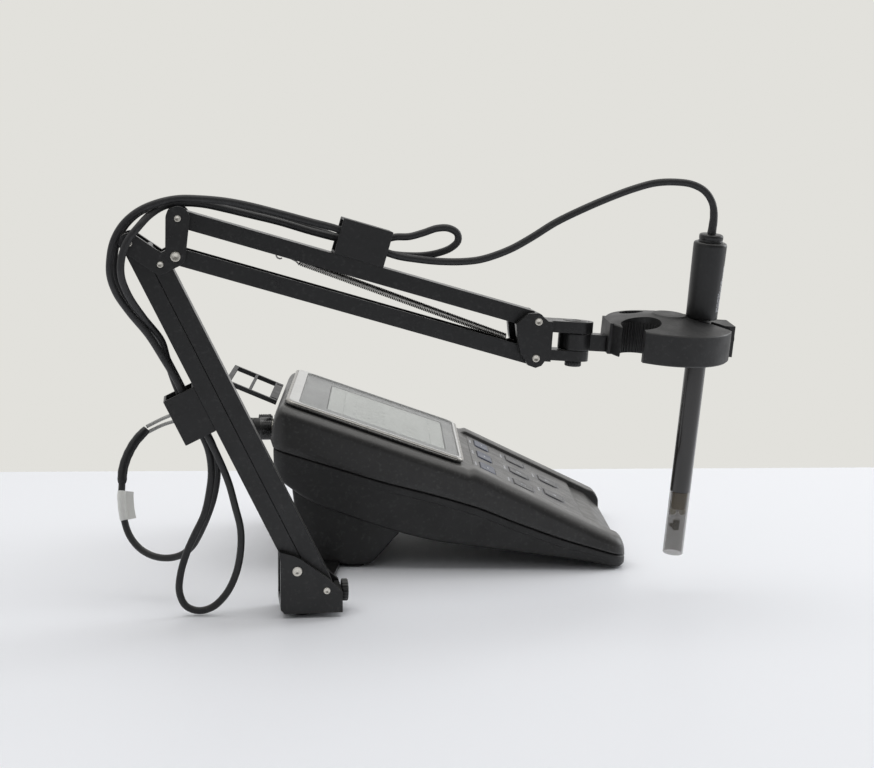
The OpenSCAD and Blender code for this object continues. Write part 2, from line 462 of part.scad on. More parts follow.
po_a = [[-83.8, -7, 161.9], [-76.2, -6.6, 149], [-70, -6.2, 138], [-66, -6, 129.5], [-60, -6, 118], [-54, -6, 107.4], [-47.5, -5.8, 93.5], [-41.5, -5.6, 78], [-38, -5.2, 64],
  [-35, -4.8, 50], [-35.4, -4.5, 36], [-38.4, -4, 23], [-44, -3.4, 12], [-52, -2.8, 4.4], [-60, -2.2, 2.6], [-67, -1.6, 5.6], [-70.4, -1.2, 13.6], [-69.6, -0.8, 24],
  [-66, -0.4, 36], [-61, 0, 47], [-55.6, 0.2, 58], [-52.6, 0.2, 70], [-51, 0.1, 83], [-52.5, 0, 96], [-57, 0, 107.2], [-62.6, 0, 118.6], [-68.6, 0, 130],
  [-72.2, -0.6, 140], [-75, -1.2, 150], [-77.6, -1.9, 159.2]];
po_c = [[-82.9, 6, 162.3], [-76, 6, 150], [-70.5, 6, 139], [-66, 6, 129.6], [-60, 6, 118], [-54.4, 6.2, 107.2]];
// tail from the post down, round and up to the meter's rear, in the meter's frame
tail_route = [[-139.0, -94.4, 105.8], [-134.5, -92, 94], [-133.5, -89, 80], [-136, -85, 66], [-140.5, -80, 53], [-145.5, -75, 42], [-151, -70, 32.5], [-158, -66, 26.5],
  [-166, -63, 24], [-175, -60, 24.5], [-183.5, -57, 28.5], [-190, -54, 36], [-193.5, -51, 46], [-195, -48, 57], [-195, -45, 66]];
sleeve_route = [[-195, -45, 66], [-194.5, -42.5, 74], [-192, -40, 82], [-187.5, -37, 90], [-181, -33.5, 97]];
lead_1 = [[-181, -33.5, 98.6], [-171, -28.5, 103], [-160, -20, 106], [-152, -10, 106.4], [-145.5, 2, 103.6], [-142, 14, 98.4], [-140.2, 25, 91.5], [-139, 31.4, 87.4], [-137, 34, 85.8], [-133.5, 34, 85.8]];
lead_2 = [[-181, -33.5, 94.8], [-172, -27, 98.5], [-163, -17, 100], [-158, -5, 99.6], [-154, 10, 97], [-150, 26, 93.2], [-144, 42, 89.4], [-137, 54, 86.8], [-130, 60, 85.8], [-124.6, 60, 85.8]];

module cable_front() color([0.16, 0.16, 0.17]) arm() tube(front_route, cr);
module cable_upper() color([0.16, 0.16, 0.17]) arm() { tube(loop_r, cr); tube(up_a, cr); tube(up_b, cr); tube(up_c, cr); }
module cable_elbow() color([0.16, 0.16, 0.17]) arm() { tube(el_a, cr); tube(el_b, cr); tube(el_c, cr); }
module cable_post() color([0.16, 0.16, 0.17]) arm() { tube(po_a, cr); tube(po_c, cr); }
module cable_tail() color([0.16, 0.16, 0.17]) whole() tube(tail_route, cr);
module cable_sleeve() color([0.1, 0.1, 0.1]) whole() tube(sleeve_route, 2.9, 10);
module cable_tag() color([0.92, 0.92, 0.9]) whole() tube([[-193.2, -51.4, 44.5], [-194.6, -49.2, 52.5], [-195.1, -46.6, 61.5]], 2.9, 12);
module cable_leads() color([0.55, 0.55, 0.55]) whole() { tube(lead_1, 1.1); tube(lead_2, 1.1); }
module bnc_plug() color([0.7, 0.68, 0.6]) whole() {
  translate([-133.5, 34, 85.8]) rotate([0, 90, 0]) difference() {
    union() { cylinder(r = 3.4, h = 5); translate([0, 0, 5]) cylinder(r = 7.2, h = 19); }
    translate([0, 0, 14]) cylinder(r = 6.2, h = 12);
  }
  translate([-124.6, 60, 85.8]) rotate([0, 90, 0]) { cylinder(r = 3, h = 5); translate([0, 0, 5]) cylinder(r = 5.4, h = 8.8); }
}

upper_housing();
lower_housing();
rear_panel();
display_bezel();
display_window();
lcd_module();
keypad_overlay();
main_board();
batteries();
battery_door();
rubber_feet();
housing_screws();
bnc_socket();
din_socket();
power_socket();
arm_bracket();
bracket_screws();
soft_key_1();
soft_key_2();
soft_key_3();
key_1();
key_2();
key_3();
key_4();
key_5();
connector_guard();
base_block();
swivel_bolt();
base_knob();
base_pins();
lower_rear_bar();
post_clip();
lower_front_bar();
elbow_plates();
elbow_spacers();
elbow_pins();
upper_top_bar();
upper_clip();
upper_bottom_bar();
upper_spring();
head_bracket();
head_pins();
swivel_screw();
holder_link();
electrode_holder();
electrode_cap();
electrode_collar();
electrode_body();
electrode_guard();
sensor_tip();
cable_front();
cable_upper();
cable_elbow();
cable_post();
cable_tail();
cable_sleeve();
cable_tag();
cable_leads();
bnc_plug();
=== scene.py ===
"""Visual model of a benchtop pH meter with a swing arm and an electrode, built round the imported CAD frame.
Lengths inside the builders are millimetres; every mesh is put into the part's frame in metres."""
import math, json
import bpy, bmesh
import numpy as np
from mathutils import Matrix, Vector


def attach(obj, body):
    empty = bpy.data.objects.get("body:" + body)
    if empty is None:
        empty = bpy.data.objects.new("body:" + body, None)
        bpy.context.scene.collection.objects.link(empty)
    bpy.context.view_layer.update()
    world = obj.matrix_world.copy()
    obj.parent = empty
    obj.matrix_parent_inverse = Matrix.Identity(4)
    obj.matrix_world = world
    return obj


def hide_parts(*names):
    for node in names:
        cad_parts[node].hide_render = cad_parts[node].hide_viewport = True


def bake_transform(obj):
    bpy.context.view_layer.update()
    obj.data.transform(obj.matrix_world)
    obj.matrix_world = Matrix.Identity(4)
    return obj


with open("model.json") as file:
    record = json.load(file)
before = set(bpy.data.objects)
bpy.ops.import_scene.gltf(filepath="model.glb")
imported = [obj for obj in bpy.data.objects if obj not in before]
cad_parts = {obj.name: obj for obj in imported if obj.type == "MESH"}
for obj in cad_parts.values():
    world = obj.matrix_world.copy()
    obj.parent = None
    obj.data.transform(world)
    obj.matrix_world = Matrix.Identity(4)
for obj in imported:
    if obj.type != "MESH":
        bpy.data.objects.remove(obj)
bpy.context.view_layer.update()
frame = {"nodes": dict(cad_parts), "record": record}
N = frame["nodes"]
NODE_BODY = {n: b for b, ns in frame["record"]["behaviour"]["bodies"].items() for n in ns}
MM = 0.001
rad = math.radians

# ---------------------------------------------------------------- frames
OX, OY = 7.96, -25.74
T = Matrix.Translation
def R(a, ax): return Matrix.Rotation(rad(a), 4, ax)
WORLD = Matrix.Scale(MM, 4) @ T((OX, OY, 0))
ARM = WORLD @ T((-85, -95, 0)) @ R(6, "Z")
B1, B2, T1, T2 = (-3.5, 27.4), (13.3, 15.6), (-93.9, 215.0), (-77.1, 203.2)
P_, S_, H1, H2 = (-68.7, 207.4), (-67.15, 228.4), (135.35, 168.5), (133.8, 147.5)
HEAD = ARM @ T((H1[0], 0, H1[1])) @ R(4.2, "Y")
HOLDER = HEAD @ T((79.85, 0, -6.7)) @ R(6, "X")
ELEC = HOLDER @ T((20, 2, 4))
D0, D1, K1 = (-101, 105), (14, 64.7), (108, 18.9)
DISP_A = math.degrees(math.atan2(D0[1] - D1[1], D1[0] - D0[0]))
KEYS_A = math.degrees(math.atan2(D1[1] - K1[1], K1[0] - D1[0]))
DISP = WORLD @ T((D0[0], 85, D0[1])) @ R(DISP_A, "Y")
KEYS = WORLD @ T((D1[0], 85, D1[1])) @ R(KEYS_A, "Y")
def pt(m, p): return m @ Vector(p)

# ---------------------------------------------------------------- materials
def principled(name):
    m = bpy.data.materials.new(name)
    m.use_nodes = True
    nt = m.node_tree
    return m, nt, nt.nodes["Principled BSDF"]

def node(nt, kind, **inputs):
    n = nt.nodes.new(kind)
    for k, v in inputs.items():
        n.inputs[k.replace("_", " ")].default_value = v
    return n

def lift(c, k): return tuple(min(1, max(0, x * k)) for x in c[:3]) + (1,)

def coat_mix(nt, fac, a, b):
    mx = nt.nodes.new("ShaderNodeMix"); mx.data_type = "RGBA"
    nt.links.new(fac, mx.inputs[0])
    for i, v in ((6, a), (7, b)):
        if isinstance(v, tuple): mx.inputs[i].default_value = v
        else: nt.links.new(v, mx.inputs[i])
    return mx.outputs[2]

def moulded(name, base, rough=.48, spec=.5, grain=.25, grain_size=.35, tone=.16, tone_size=14, rvar=.07,
            dust=.0, dust_col=(.32, .32, .31), metal=0., coat=0., stretch=None, scratches=0., sheen=0., painted_top_light=0.):
    """Moulded or painted surface: cloudy tone, moulded-in grain, roughness patches, fine dust, light scratches, and a
    painted highlight that lightens the faces that look up.
    """
    m, nt, b = principled(name)
    L = nt.links.new
    co = nt.nodes.new("ShaderNodeTexCoord")
    src = co.outputs["Object"]
    if stretch:
        mp = nt.nodes.new("ShaderNodeMapping"); mp.inputs["Scale"].default_value = stretch
        L(src, mp.inputs["Vector"]); src = mp.outputs["Vector"]
    cloud = node(nt, "ShaderNodeTexNoise", Scale=1000 / tone_size, Detail=6., Roughness=.62)
    L(src, cloud.inputs["Vector"])
    ramp = nt.nodes.new("ShaderNodeValToRGB")
    ramp.color_ramp.elements[0].position, ramp.color_ramp.elements[1].position = .3, .72
    ramp.color_ramp.elements[0].color, ramp.color_ramp.elements[1].color = lift(base, 1 - tone), lift(base, 1 + tone)
    L(cloud.outputs["Fac"], ramp.inputs["Fac"])
    colour = ramp.outputs["Color"]
    if dust:
        sp = node(nt, "ShaderNodeTexVoronoi", Scale=1000 / 5.5)
        L(co.outputs["Object"], sp.inputs["Vector"])
        fine = node(nt, "ShaderNodeTexNoise", Scale=1000 / 2.2, Detail=4.)
        L(co.outputs["Object"], fine.inputs["Vector"])
        spot = nt.nodes.new("ShaderNodeMapRange")
        for k, v in ((1, .045), (2, .012), (3, 0.), (4, 1.)): spot.inputs[k].default_value = v
        L(sp.outputs["Distance"], spot.inputs[0])
        film = nt.nodes.new("ShaderNodeMapRange")
        for k, v in ((1, .55), (2, .8), (3, 0.), (4, .35)): film.inputs[k].default_value = v
        L(fine.outputs["Fac"], film.inputs[0])
        mxm = nt.nodes.new("ShaderNodeMath"); mxm.operation = "MAXIMUM"
        L(spot.outputs[0], mxm.inputs[0]); L(film.outputs[0], mxm.inputs[1])
        mul = nt.nodes.new("ShaderNodeMath"); mul.operation = "MULTIPLY"; mul.inputs[1].default_value = dust
        L(mxm.outputs[0], mul.inputs[0])
        colour = coat_mix(nt, mul.outputs[0], colour, dust_col + (1,))
    if painted_top_light:
        # painted highlight: a lighter tone on the faces that look up, standing in for light falling on them from above
        ge = nt.nodes.new("ShaderNodeNewGeometry"); sx = nt.nodes.new("ShaderNodeSeparateXYZ"); up = nt.nodes.new("ShaderNodeMapRange")
        L(ge.outputs["Normal"], sx.inputs[0]); L(sx.outputs["Z"], up.inputs[0])
        for k, v in ((1, .35), (2, .95), (3, 0.), (4, painted_top_light)): up.inputs[k].default_value = v
        colour = coat_mix(nt, up.outputs[0], colour, (.34, .335, .32, 1))
    L(colour, b.inputs["Base Color"])
    rr = nt.nodes.new("ShaderNodeMapRange")
    for k, v in ((1, .3), (2, .7), (3, max(.03, rough - rvar)), (4, rough + rvar)): rr.inputs[k].default_value = v
    patch = node(nt, "ShaderNodeTexNoise", Scale=1000 / (tone_size * .7), Detail=3.)
    L(src, patch.inputs["Vector"]); L(patch.outputs["Fac"], rr.inputs[0])
    L(rr.outputs[0], b.inputs["Roughness"])
    g = node(nt, "ShaderNodeTexNoise", Scale=1000 / grain_size, Detail=2., Roughness=.5)
    L(src, g.inputs["Vector"])
    h = g.outputs["Fac"]
    if scratches:
        mp2 = nt.nodes.new("ShaderNodeMapping"); mp2.inputs["Scale"].default_value = (40, 900, 900)
        mp2.inputs["Rotation"].default_value = (0, .3, .5)
        L(co.outputs["Object"], mp2.inputs["Vector"])
        sc = node(nt, "ShaderNodeTexNoise", Scale=1., Detail=2.); L(mp2.outputs["Vector"], sc.inputs["Vector"])
        ad = nt.nodes.new("ShaderNodeMath"); ad.operation = "MULTIPLY_ADD"; ad.inputs[1].default_value = scratches
        L(sc.outputs["Fac"], ad.inputs[0]); L(h, ad.inputs[2]); h = ad.outputs[0]
    bump = node(nt, "ShaderNodeBump", Strength=grain, Distance=.00012)
    L(h, bump.inputs["Height"]); L(bump.outputs["Normal"], b.inputs["Normal"])
    b.inputs["Metallic"].default_value = metal
    b.inputs["Specular IOR Level"].default_value = spec
    b.inputs["Coat Weight"].default_value = coat
    b.inputs["Coat Roughness"].default_value = .12
    b.inputs["Sheen Weight"].default_value = sheen
    return m

def metal(name, base, rough=.3, size=.25, stretch=(1, 1, 1), tone=.1, aniso=0.):
    m = moulded(name, base, rough=rough, metal=1., grain=.12, grain_size=size, tone=tone, tone_size=3, rvar=.08, stretch=stretch)
    return m

M = {}
# painted_top_light lightens the shell's upward faces as a painted highlight
M["housing_top"] = moulded("shell_upper", (.0245, .0238, .0232), rough=.42, grain=.35, grain_size=.42, tone=.14, dust=.3, coat=.08, painted_top_light=.13)
M["housing_base"] = moulded("shell_lower", (.0125, .0124, .0124), rough=.5, grain=.4, grain_size=.42, tone=.15, dust=.22)
M["bezel_silver"] = moulded("bezel_paint", (.50, .50, .49), rough=.34, metal=.15, grain=.08, grain_size=.15, tone=.05, coat=.4)
M["bezel_edge"] = metal("bezel_lip", (.34, .33, .31), rough=.3)
M["dark_metal"] = metal("dark_plating", (.10, .10, .10), rough=.3)
M["arm_black"] = moulded("arm_moulding", (.0095, .0095, .0098), rough=.34, grain=.3, grain_size=.38, tone=.2, dust=.2, scratches=.25)
M["clip_black"] = moulded("clip_moulding", (.012, .012, .0125), rough=.5, grain=.35, grain_size=.4, tone=.2, dust=.12)
M["holder_black"] = moulded("holder_moulding", (.0115, .0115, .0118), rough=.5, grain=.5, grain_size=.5, tone=.22, dust=.2)
M["cap_black"] = moulded("cap_moulding", (.009, .009, .0094), rough=.38, grain=.18, grain_size=.3, tone=.18, dust=.08)
M["foot_rubber"] = moulded("foot_rubber", (.013, .013, .013), rough=.85, grain=.6, grain_size=.5, tone=.25, dust=.3)
M["cable_jacket"] = moulded("cable_jacket", (.0135, .0135, .0145), rough=.52, grain=.3, grain_size=.3, tone=.18, tone_size=22, dust=.15, sheen=.1)
M["sleeve_black"] = moulded("shrink_sleeve", (.013, .013, .014), rough=.42, grain=.35, grain_size=.6, tone=.2)
M["lead_grey"] = moulded("lead_jacket", (.36, .36, .35), rough=.5, grain=.15, grain_size=.25, tone=.08)
M["lead_black"] = moulded("lead_jacket_dark", (.02, .02, .021), rough=.5, grain=.15, grain_size=.25, tone=.12)
M["tag_white"] = moulded("paper_tag", (.78, .78, .75), rough=.7, grain=.3, grain_size=.25, tone=.06)
M["steel"] = metal("pin_steel", (.74, .71, .64), rough=.3)
M["spring_steel"] = metal("spring_wire", (.50, .49, .47), rough=.36, tone=.2)
M["connector_metal"] = metal("plated_brass", (.66, .64, .58), rough=.22)
M["connector_black"] = moulded("connector_moulding", (.014, .014, .014), rough=.42, grain=.3, grain_size=.3)
# painted_top_light lightens the keypad film's upward faces as a painted highlight
M["keypad_film"] = moulded("keypad_film", (.05, .049, .05), rough=.36, grain=.5, grain_size=.22, tone=.08, dust=.15, painted_top_light=.06)
M["soft_key_blue"] = moulded("key_membrane_blue", (.05, .06, .095), rough=.38, grain=.4, grain_size=.22, tone=.08)
M["key_dark"] = moulded("key_membrane", (.047, .047, .052), rough=.38, grain=.4, grain_size=.22, tone=.08)
M["print_white"] = moulded("legend_white", (.42, .43, .46), rough=.5, grain=.1, tone=.1, tone_size=2)
M["print_blue"] = moulded("legend_blue", (.06, .075, .13), rough=.5, grain=.1, tone=.1, tone_size=2)
M["board_green"] = moulded("board_resist", (.01, .06, .025), rough=.35, grain=.2)
M["battery_wrap"] = moulded("battery_wrap", (.45, .25, .04), rough=.3, metal=.5, grain=.1, tone=.12)
M["frame_print"] = moulded("window_border_print", (.22, .222, .225), rough=.4, grain=.1, tone=.06, tone_size=30)
# near-black: painted shade on the plinth under the bezel lip, and the printed dark line round the window
M["dark_pocket"] = moulded("shade_and_print_dark", (.006, .006, .006), rough=.7, grain=.3, tone=.3)
M["amber"] = moulded("inner_resin", (.22, .15, .055), rough=.2, grain=.05, tone=.3, tone_size=4)
M["chip_dark"] = moulded("sensor_chip", (.012, .012, .012), rough=.3, grain=.2, tone=.3, tone_size=2)

def lcd_material():
    m, nt, b = principled("lcd_glass")
    L = nt.links.new
    co = nt.nodes.new("ShaderNodeTexCoord")
    n1 = node(nt, "ShaderNodeTexNoise", Scale=1000 / 60., Detail=2.); L(co.outputs["Object"], n1.inputs["Vector"])
    ramp = nt.nodes.new("ShaderNodeValToRGB")
    ramp.color_ramp.elements[0].color = (.36, .385, .36, 1); ramp.color_ramp.elements[1].color = (.43, .45, .43, 1)
    L(n1.outputs["Fac"], ramp.inputs["Fac"]); L(ramp.outputs["Color"], b.inputs["Base Color"])
    g = node(nt, "ShaderNodeTexNoise", Scale=5200., Detail=1.); L(co.outputs["Object"], g.inputs["Vector"])
    bp = node(nt, "ShaderNodeBump", Strength=.08, Distance=.00005)
    L(g.outputs["Fac"], bp.inputs["Height"]); L(bp.outputs["Normal"], b.inputs["Normal"])
    b.inputs["Roughness"].default_value = .24
    return m
M["lcd_grey"] = lcd_material()

def clear(name, base, alpha, rough=.04, spec=.5, tone=.06, ior=1.5):
    m, nt, b = principled(name)
    L = nt.links.new
    co = nt.nodes.new("ShaderNodeTexCoord")
    n1 = node(nt, "ShaderNodeTexNoise", Scale=1000 / 9., Detail=4.); L(co.outputs["Object"], n1.inputs["Vector"])
    ramp = nt.nodes.new("ShaderNodeValToRGB")
    ramp.color_ramp.elements[0].color, ramp.color_ramp.elements[1].color = lift(base, 1 - tone), lift(base, 1 + tone)
    L(n1.outputs["Fac"], ramp.inputs["Fac"]); L(ramp.outputs["Color"], b.inputs["Base Color"])
    rr = nt.nodes.new("ShaderNodeMapRange")
    for k, v in ((1, .3), (2, .7), (3, rough), (4, rough + .06)): rr.inputs[k].default_value = v
    L(n1.outputs["Fac"], rr.inputs[0]); L(rr.outputs[0], b.inputs["Roughness"])
    b.inputs["Alpha"].default_value = alpha
    b.inputs["IOR"].default_value = ior
    b.inputs["Specular IOR Level"].default_value = spec
    return m
M["window_clear"] = clear("cover_glass", (.5, .52, .51), .16)
M["guard_smoke"] = clear("smoked_tube", (.13, .118, .10), .42, tone=.15)
M["sensor_glass"] = clear("bulb_glass", (.72, .66, .5), .62, tone=.2)

def electrode_tube():
    m = moulded("epoxy_tube", (.0135, .0115, .010), rough=.2, grain=.06, grain_size=.5, tone=.25, tone_size=30, rvar=.05, coat=.5, stretch=(1, 1, .15))
    return m
M["electrode_dark"] = electrode_tube()

# ---------------------------------------------------------------- mesh helpers
def new_obj(name, verts, faces, m, body, mat, smooth=32, replaces=(), ride=True):
    me = bpy.data.meshes.new(name)
    me.from_pydata([tuple(m @ Vector(v)) for v in verts], [], faces)
    me.validate()
    bm = bmesh.new(); bm.from_mesh(me)
    bmesh.ops.recalc_face_normals(bm, faces=bm.faces); bm.to_mesh(me); bm.free()
    return finish_mesh(name, me, body, mat, smooth, replaces, ride)

def finish_mesh(name, me, body, mat, smooth=32, replaces=(), ride=True):
    me.polygons.foreach_set("use_smooth", [True] * len(me.polygons))
    me.set_sharp_from_angle(angle=rad(smooth))
    o = bpy.data.objects.new(name, me)
    bpy.context.scene.collection.objects.link(o)
    me.materials.append(mat)
    if ride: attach(o, body)
    if replaces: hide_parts(*replaces)
    return o

def soften(bm, width, seg=2, angle=28, pick=None):
    edges = [e for e in bm.edges if len(e.link_faces) == 2 and e.calc_face_angle(0) > rad(angle) and (pick is None or pick(e))]
    if edges:
        bmesh.ops.bevel(bm, geom=edges, offset=width * MM, offset_type="OFFSET", segments=seg, profile=.5, affect="EDGES", clamp_overlap=True)

def refine(name, mat, width=.4, seg=2, angle=28, pick=None, smooth=34, extra=None):
    """A CAD node's own shape with softened edges, which stands for that node."""
    bm = bmesh.new(); bm.from_mesh(N[name].data)
    bmesh.ops.remove_doubles(bm, verts=bm.verts, dist=3e-6)
    bmesh.ops.dissolve_limit(bm, angle_limit=rad(.5), verts=bm.verts, edges=bm.edges)
    if extra: extra(bm)
    if width: soften(bm, width, seg, angle, pick)
    bmesh.ops.triangulate(bm, faces=[f for f in bm.faces if len(f.verts) > 8])
    bmesh.ops.recalc_face_normals(bm, faces=bm.faces)
    me = bpy.data.meshes.new("v_" + name); bm.to_mesh(me); bm.free()
    o = finish_mesh("v_" + name, me, NODE_BODY[name], mat, smooth, (name,))
    w = o.modifiers.new("normals", "WEIGHTED_NORMAL"); w.keep_sharp = True; w.weight = 60
    return o

def lathe(profile, seg=48, wobble=None, closed=True):
    """Round solid about Z from (r, z) points, wobble(angle, i) changes the radius."""
    v, f = [], []
    for i, (r, z) in enumerate(profile):
        for k in range(seg):
            a = 2 * math.pi * k / seg
            q = r * (1 + (wobble(a, i) if wobble else 0))
            v.append((q * math.cos(a), q * math.sin(a), z))
    n = len(profile)
    for i in range(n - 1):
        for k in range(seg):
            k2 = (k + 1) % seg
            f.append((i * seg + k, i * seg + k2, (i + 1) * seg + k2, (i + 1) * seg + k))
    if closed:
        f.append(tuple(range(seg))[::-1]); f.append(tuple((n - 1) * seg + k for k in range(seg)))
    return v, f

def ring(profile, seg=48, wobble=None):
    """Round ring: the (r, z) profile closes on itself."""
    v, f = lathe(profile, seg, wobble, closed=False)
    n = len(profile)
    for k in range(seg):
        k2 = (k + 1) % seg
        f.append(((n - 1) * seg + k, (n - 1) * seg + k2, k2, k))
    return v, f

def rounded(pts, n=4):
    """Corners (x, y, r) of a polygon with round corners."""
    out = []
    c = len(pts)
    for i in range(c):
        p = Vector(pts[i][:2]); q = Vector(pts[i - 1][:2]); s = Vector(pts[(i + 1) % c][:2]); r = pts[i][2]
        if r <= 0: out.append(tuple(p)); continue
        u, w = (q - p).normalized(), (s - p).normalized()
        h = math.acos(max(-1, min(1, u.dot(w)))) / 2
        t = r / math.tan(h)
        k = p + (u + w).normalized() * (r / math.sin(h))
        a, b = p + u * t - k, p + w * t - k
        g = math.pi - 2 * h
        for j in range(n + 1):
            x = j / n
            out.append(tuple(k + (a * math.sin(g * (1 - x)) + b * math.sin(g * x)) / math.sin(g)))
    return out

def prism(poly, z0, z1, bevel=0., seg=3):
    """Extruded outline with rounded top edge: inset rings near z1."""
    c = Vector((sum(p[0] for p in poly) / len(poly), sum(p[1] for p in poly) / len(poly)))
    rings = [(0, z0)]
    if bevel:
        for j in range(seg + 1):
            a = math.pi / 2 * j / seg
            rings.append((bevel * (1 - math.cos(a)), z1 - bevel + bevel * math.sin(a)))
    else: rings.append((0, z1))
    v, f, n = [], [], len(poly)
    nrm = []
    for i in range(n):
        a, b = Vector(poly[i - 1]), Vector(poly[(i + 1) % n])
        d = (b - a).normalized(); nn = Vector((d.y, -d.x))
        if nn.dot(Vector(poly[i]) - c) > 0: nn = -nn
        nrm.append(nn)
    for d, z in rings:
        for i in range(n): v.append((poly[i][0] + nrm[i].x * d, poly[i][1] + nrm[i].y * d, z))
    for k in range(len(rings) - 1):
        for i in range(n):
            j = (i + 1) % n
            f.append((k * n + i, k * n + j, (k + 1) * n + j, (k + 1) * n + i))
    f.append(tuple(range(n))[::-1]); f.append(tuple((len(rings) - 1) * n + i for i in range(n)))
    return v, f

def loft(sections, caps=True):
    v, f = [], []
    n = len(sections[0])
    for s in sections: v += s
    for i in range(len(sections) - 1):
        for k in range(n):
            j = (k + 1) % n
            f.append((i * n + k, i * n + j, (i + 1) * n + j, (i + 1) * n + k))
    if caps:
        f.append(tuple(range(n))[::-1]); f.append(tuple((len(sections) - 1) * n + k for k in range(n)))
    return v, f

def join(*parts):
    v, f = [], []
    for a, b in parts:
        o = len(v); v += list(a); f += [tuple(i + o for i in q) for q in b]
    return v, f

def moved(part, m): return [tuple(m @ Vector(p)) for p in part[0]], part[1]

# ---------------------------------------------------------------- camera first
cam_data = bpy.data.cameras.new("camera"); cam = bpy.data.objects.new("camera", cam_data)
bpy.context.scene.collection.objects.link(cam); bpy.context.scene.camera = cam
cam_data.lens, cam_data.sensor_width, cam_data.sensor_fit = 74.14, 36, "HORIZONTAL"
cam_data.clip_start, cam_data.clip_end = .05, 30
cam.location = (-.02704, -1.14074, .276)
cam.rotation_euler = (rad(90 - 8.0), 0, rad(-1.595))

# ---------------------------------------------------------------- cable
front_route = [[239.05, -4.6, 217.21], [239.8, -5.7, 227.5], [238.5, -6.5, 235], [234, -7, 241.5], [226.5, -7.5, 245.5], [216, -8, 247], [204, -8.5, 246.5],
  [192, -9, 243.5], [179, -9.5, 239], [163, -10, 232.5], [146, -10, 224.5], [132, -10, 216], [121, -10, 210], [111, -9.5, 206], [102, -8.8, 203.5],
  [92, -8, 202.5], [83, -7, 202.5], [75, -6.5, 203], [67, -6.2, 204], [56.2, -6, 205.8]]
loop_r = [[55, -0.3, 216.3], [63, -0.3, 216.5], [71, 0, 218.5], [79, 0.5, 221], [86, 1.2, 221], [91, 2, 218], [91.5, 3, 213.5], [87.5, 4, 209.5],
  [80, 5, 206.6], [72, 5.4, 205.3], [64, 5.5, 205.2], [55, 5.5, 206]]
up_a = [[55, -6, 206], [47, -6, 209], [38, -6, 213.5], [29, -6, 218.5], [20, -6, 222], [7, -7, 225.5], [-11, -8, 230.5], [-29, -10, 235.2]]
up_b = [[55, -0.3, 216.3], [47, -0.3, 214.5], [38, -0.3, 214], [29, -0.3, 214.5], [20, -0.3, 216.5], [7, -0.6, 220], [-11, -1, 225.5], [-29, -1.5, 230]]
up_c = [[55, 5.5, 206], [47, 5.5, 208], [38, 5.5, 210.5], [29, 5.5, 213.5], [20, 5.6, 217], [7, 6, 221.5], [-11, 6.5, 227], [-29, 7, 231.5]]
el_a = [[-30.2, -10, 235.4], [-41, -11, 237.5], [-54, -12, 238.8], [-67, -13, 239], [-79, -14, 236.5], [-89, -15, 232], [-97, -15, 225], [-102, -15, 216.5],
  [-104.3, -14, 207], [-104.6, -13, 197], [-101.5, -11, 187], [-94.5, -9, 176], [-84.5, -7, 163]]
el_b = [[-30.2, -1.6, 230.3], [-41, -2, 233], [-53, -3, 235.6], [-64, -5, 236.4], [-74, -8, 235], [-82, -14, 230.5], [-88, -19.5, 224.5], [-94, -21, 217],
  [-97.5, -21, 208.5], [-98.4, -20, 198], [-95, -15, 186.5], [-87.5, -8, 173.5], [-78, -2.4, 160.5]]
el_c = [[-30.2, 7, 231.8], [-41, 7, 235], [-54, 7, 237.2], [-67, 7, 237.6], [-79, 7, 235], [-89, 6.5, 230.5], [-96.5, 6, 223.5], [-101, 6, 215.5],
  [-103, 6, 206], [-103, 6, 196.5], [-99.5, 6, 186], [-92.5, 6, 175], [-83.5, 6, 163.5]]
po_a = [[-83.8, -7, 161.9], [-76.2, -6.6, 149], [-70, -6.2, 138], [-66, -6, 129.5], [-60, -6, 118], [-54, -6, 107.4], [-47.5, -5.8, 93.5], [-41.5, -5.6, 78], [-38, -5.2, 64],
  [-35, -4.8, 50], [-35.4, -4.5, 36], [-38.4, -4, 23], [-44, -3.4, 12], [-52, -2.8, 4.4], [-60, -2.2, 2.6], [-67, -1.6, 5.6], [-70.4, -1.2, 13.6], [-69.6, -0.8, 24],
  [-66, -0.4, 36], [-61, 0, 47], [-55.6, 0.2, 58], [-52.6, 0.2, 70], [-51, 0.1, 83], [-52.5, 0, 96], [-57, 0, 107.2], [-62.6, 0, 118.6], [-68.6, 0, 130],
  [-72.2, -0.6, 140], [-75, -1.2, 150], [-77.6, -1.9, 159.2]]
po_c = [[-82.9, 6, 162.3], [-76, 6, 150], [-70.5, 6, 139], [-66, 6, 129.6], [-60, 6, 118], [-54.4, 6.2, 107.2]]
tail_route = [[-139.0, -94.4, 105.8], [-134.5, -92, 94], [-133.5, -89, 80], [-136, -85, 66], [-140.5, -80, 53], [-145.5, -75, 42], [-151, -70, 32.5], [-158, -66, 26.5],
  [-166, -63, 24], [-175, -60, 24.5], [-183.5, -57, 28.5], [-190, -54, 36], [-193.5, -51, 46], [-195, -48, 57], [-195, -45, 66]]
sleeve_route = [[-195, -45, 66], [-194.5, -42.5, 74], [-192, -40, 82], [-187.5, -37, 90], [-181, -33.5, 97]]
lead_1 = [[-181, -33.5, 98.6], [-171, -28.5, 103], [-160, -20, 106], [-152, -10, 106.4], [-145.5, 2, 103.6], [-142, 14, 98.4], [-140.2, 25, 91.5], [-139, 31.4, 87.4], [-137, 34, 85.8], [-133.5, 34, 85.8]]
lead_2 = [[-181, -33.5, 94.8], [-172, -27, 98.5], [-163, -17, 100], [-158, -5, 99.6], [-154, 10, 97], [-150, 26, 93.2], [-144, 42, 89.4], [-137, 54, 86.8], [-130, 60, 85.8], [-124.6, 60, 85.8]]

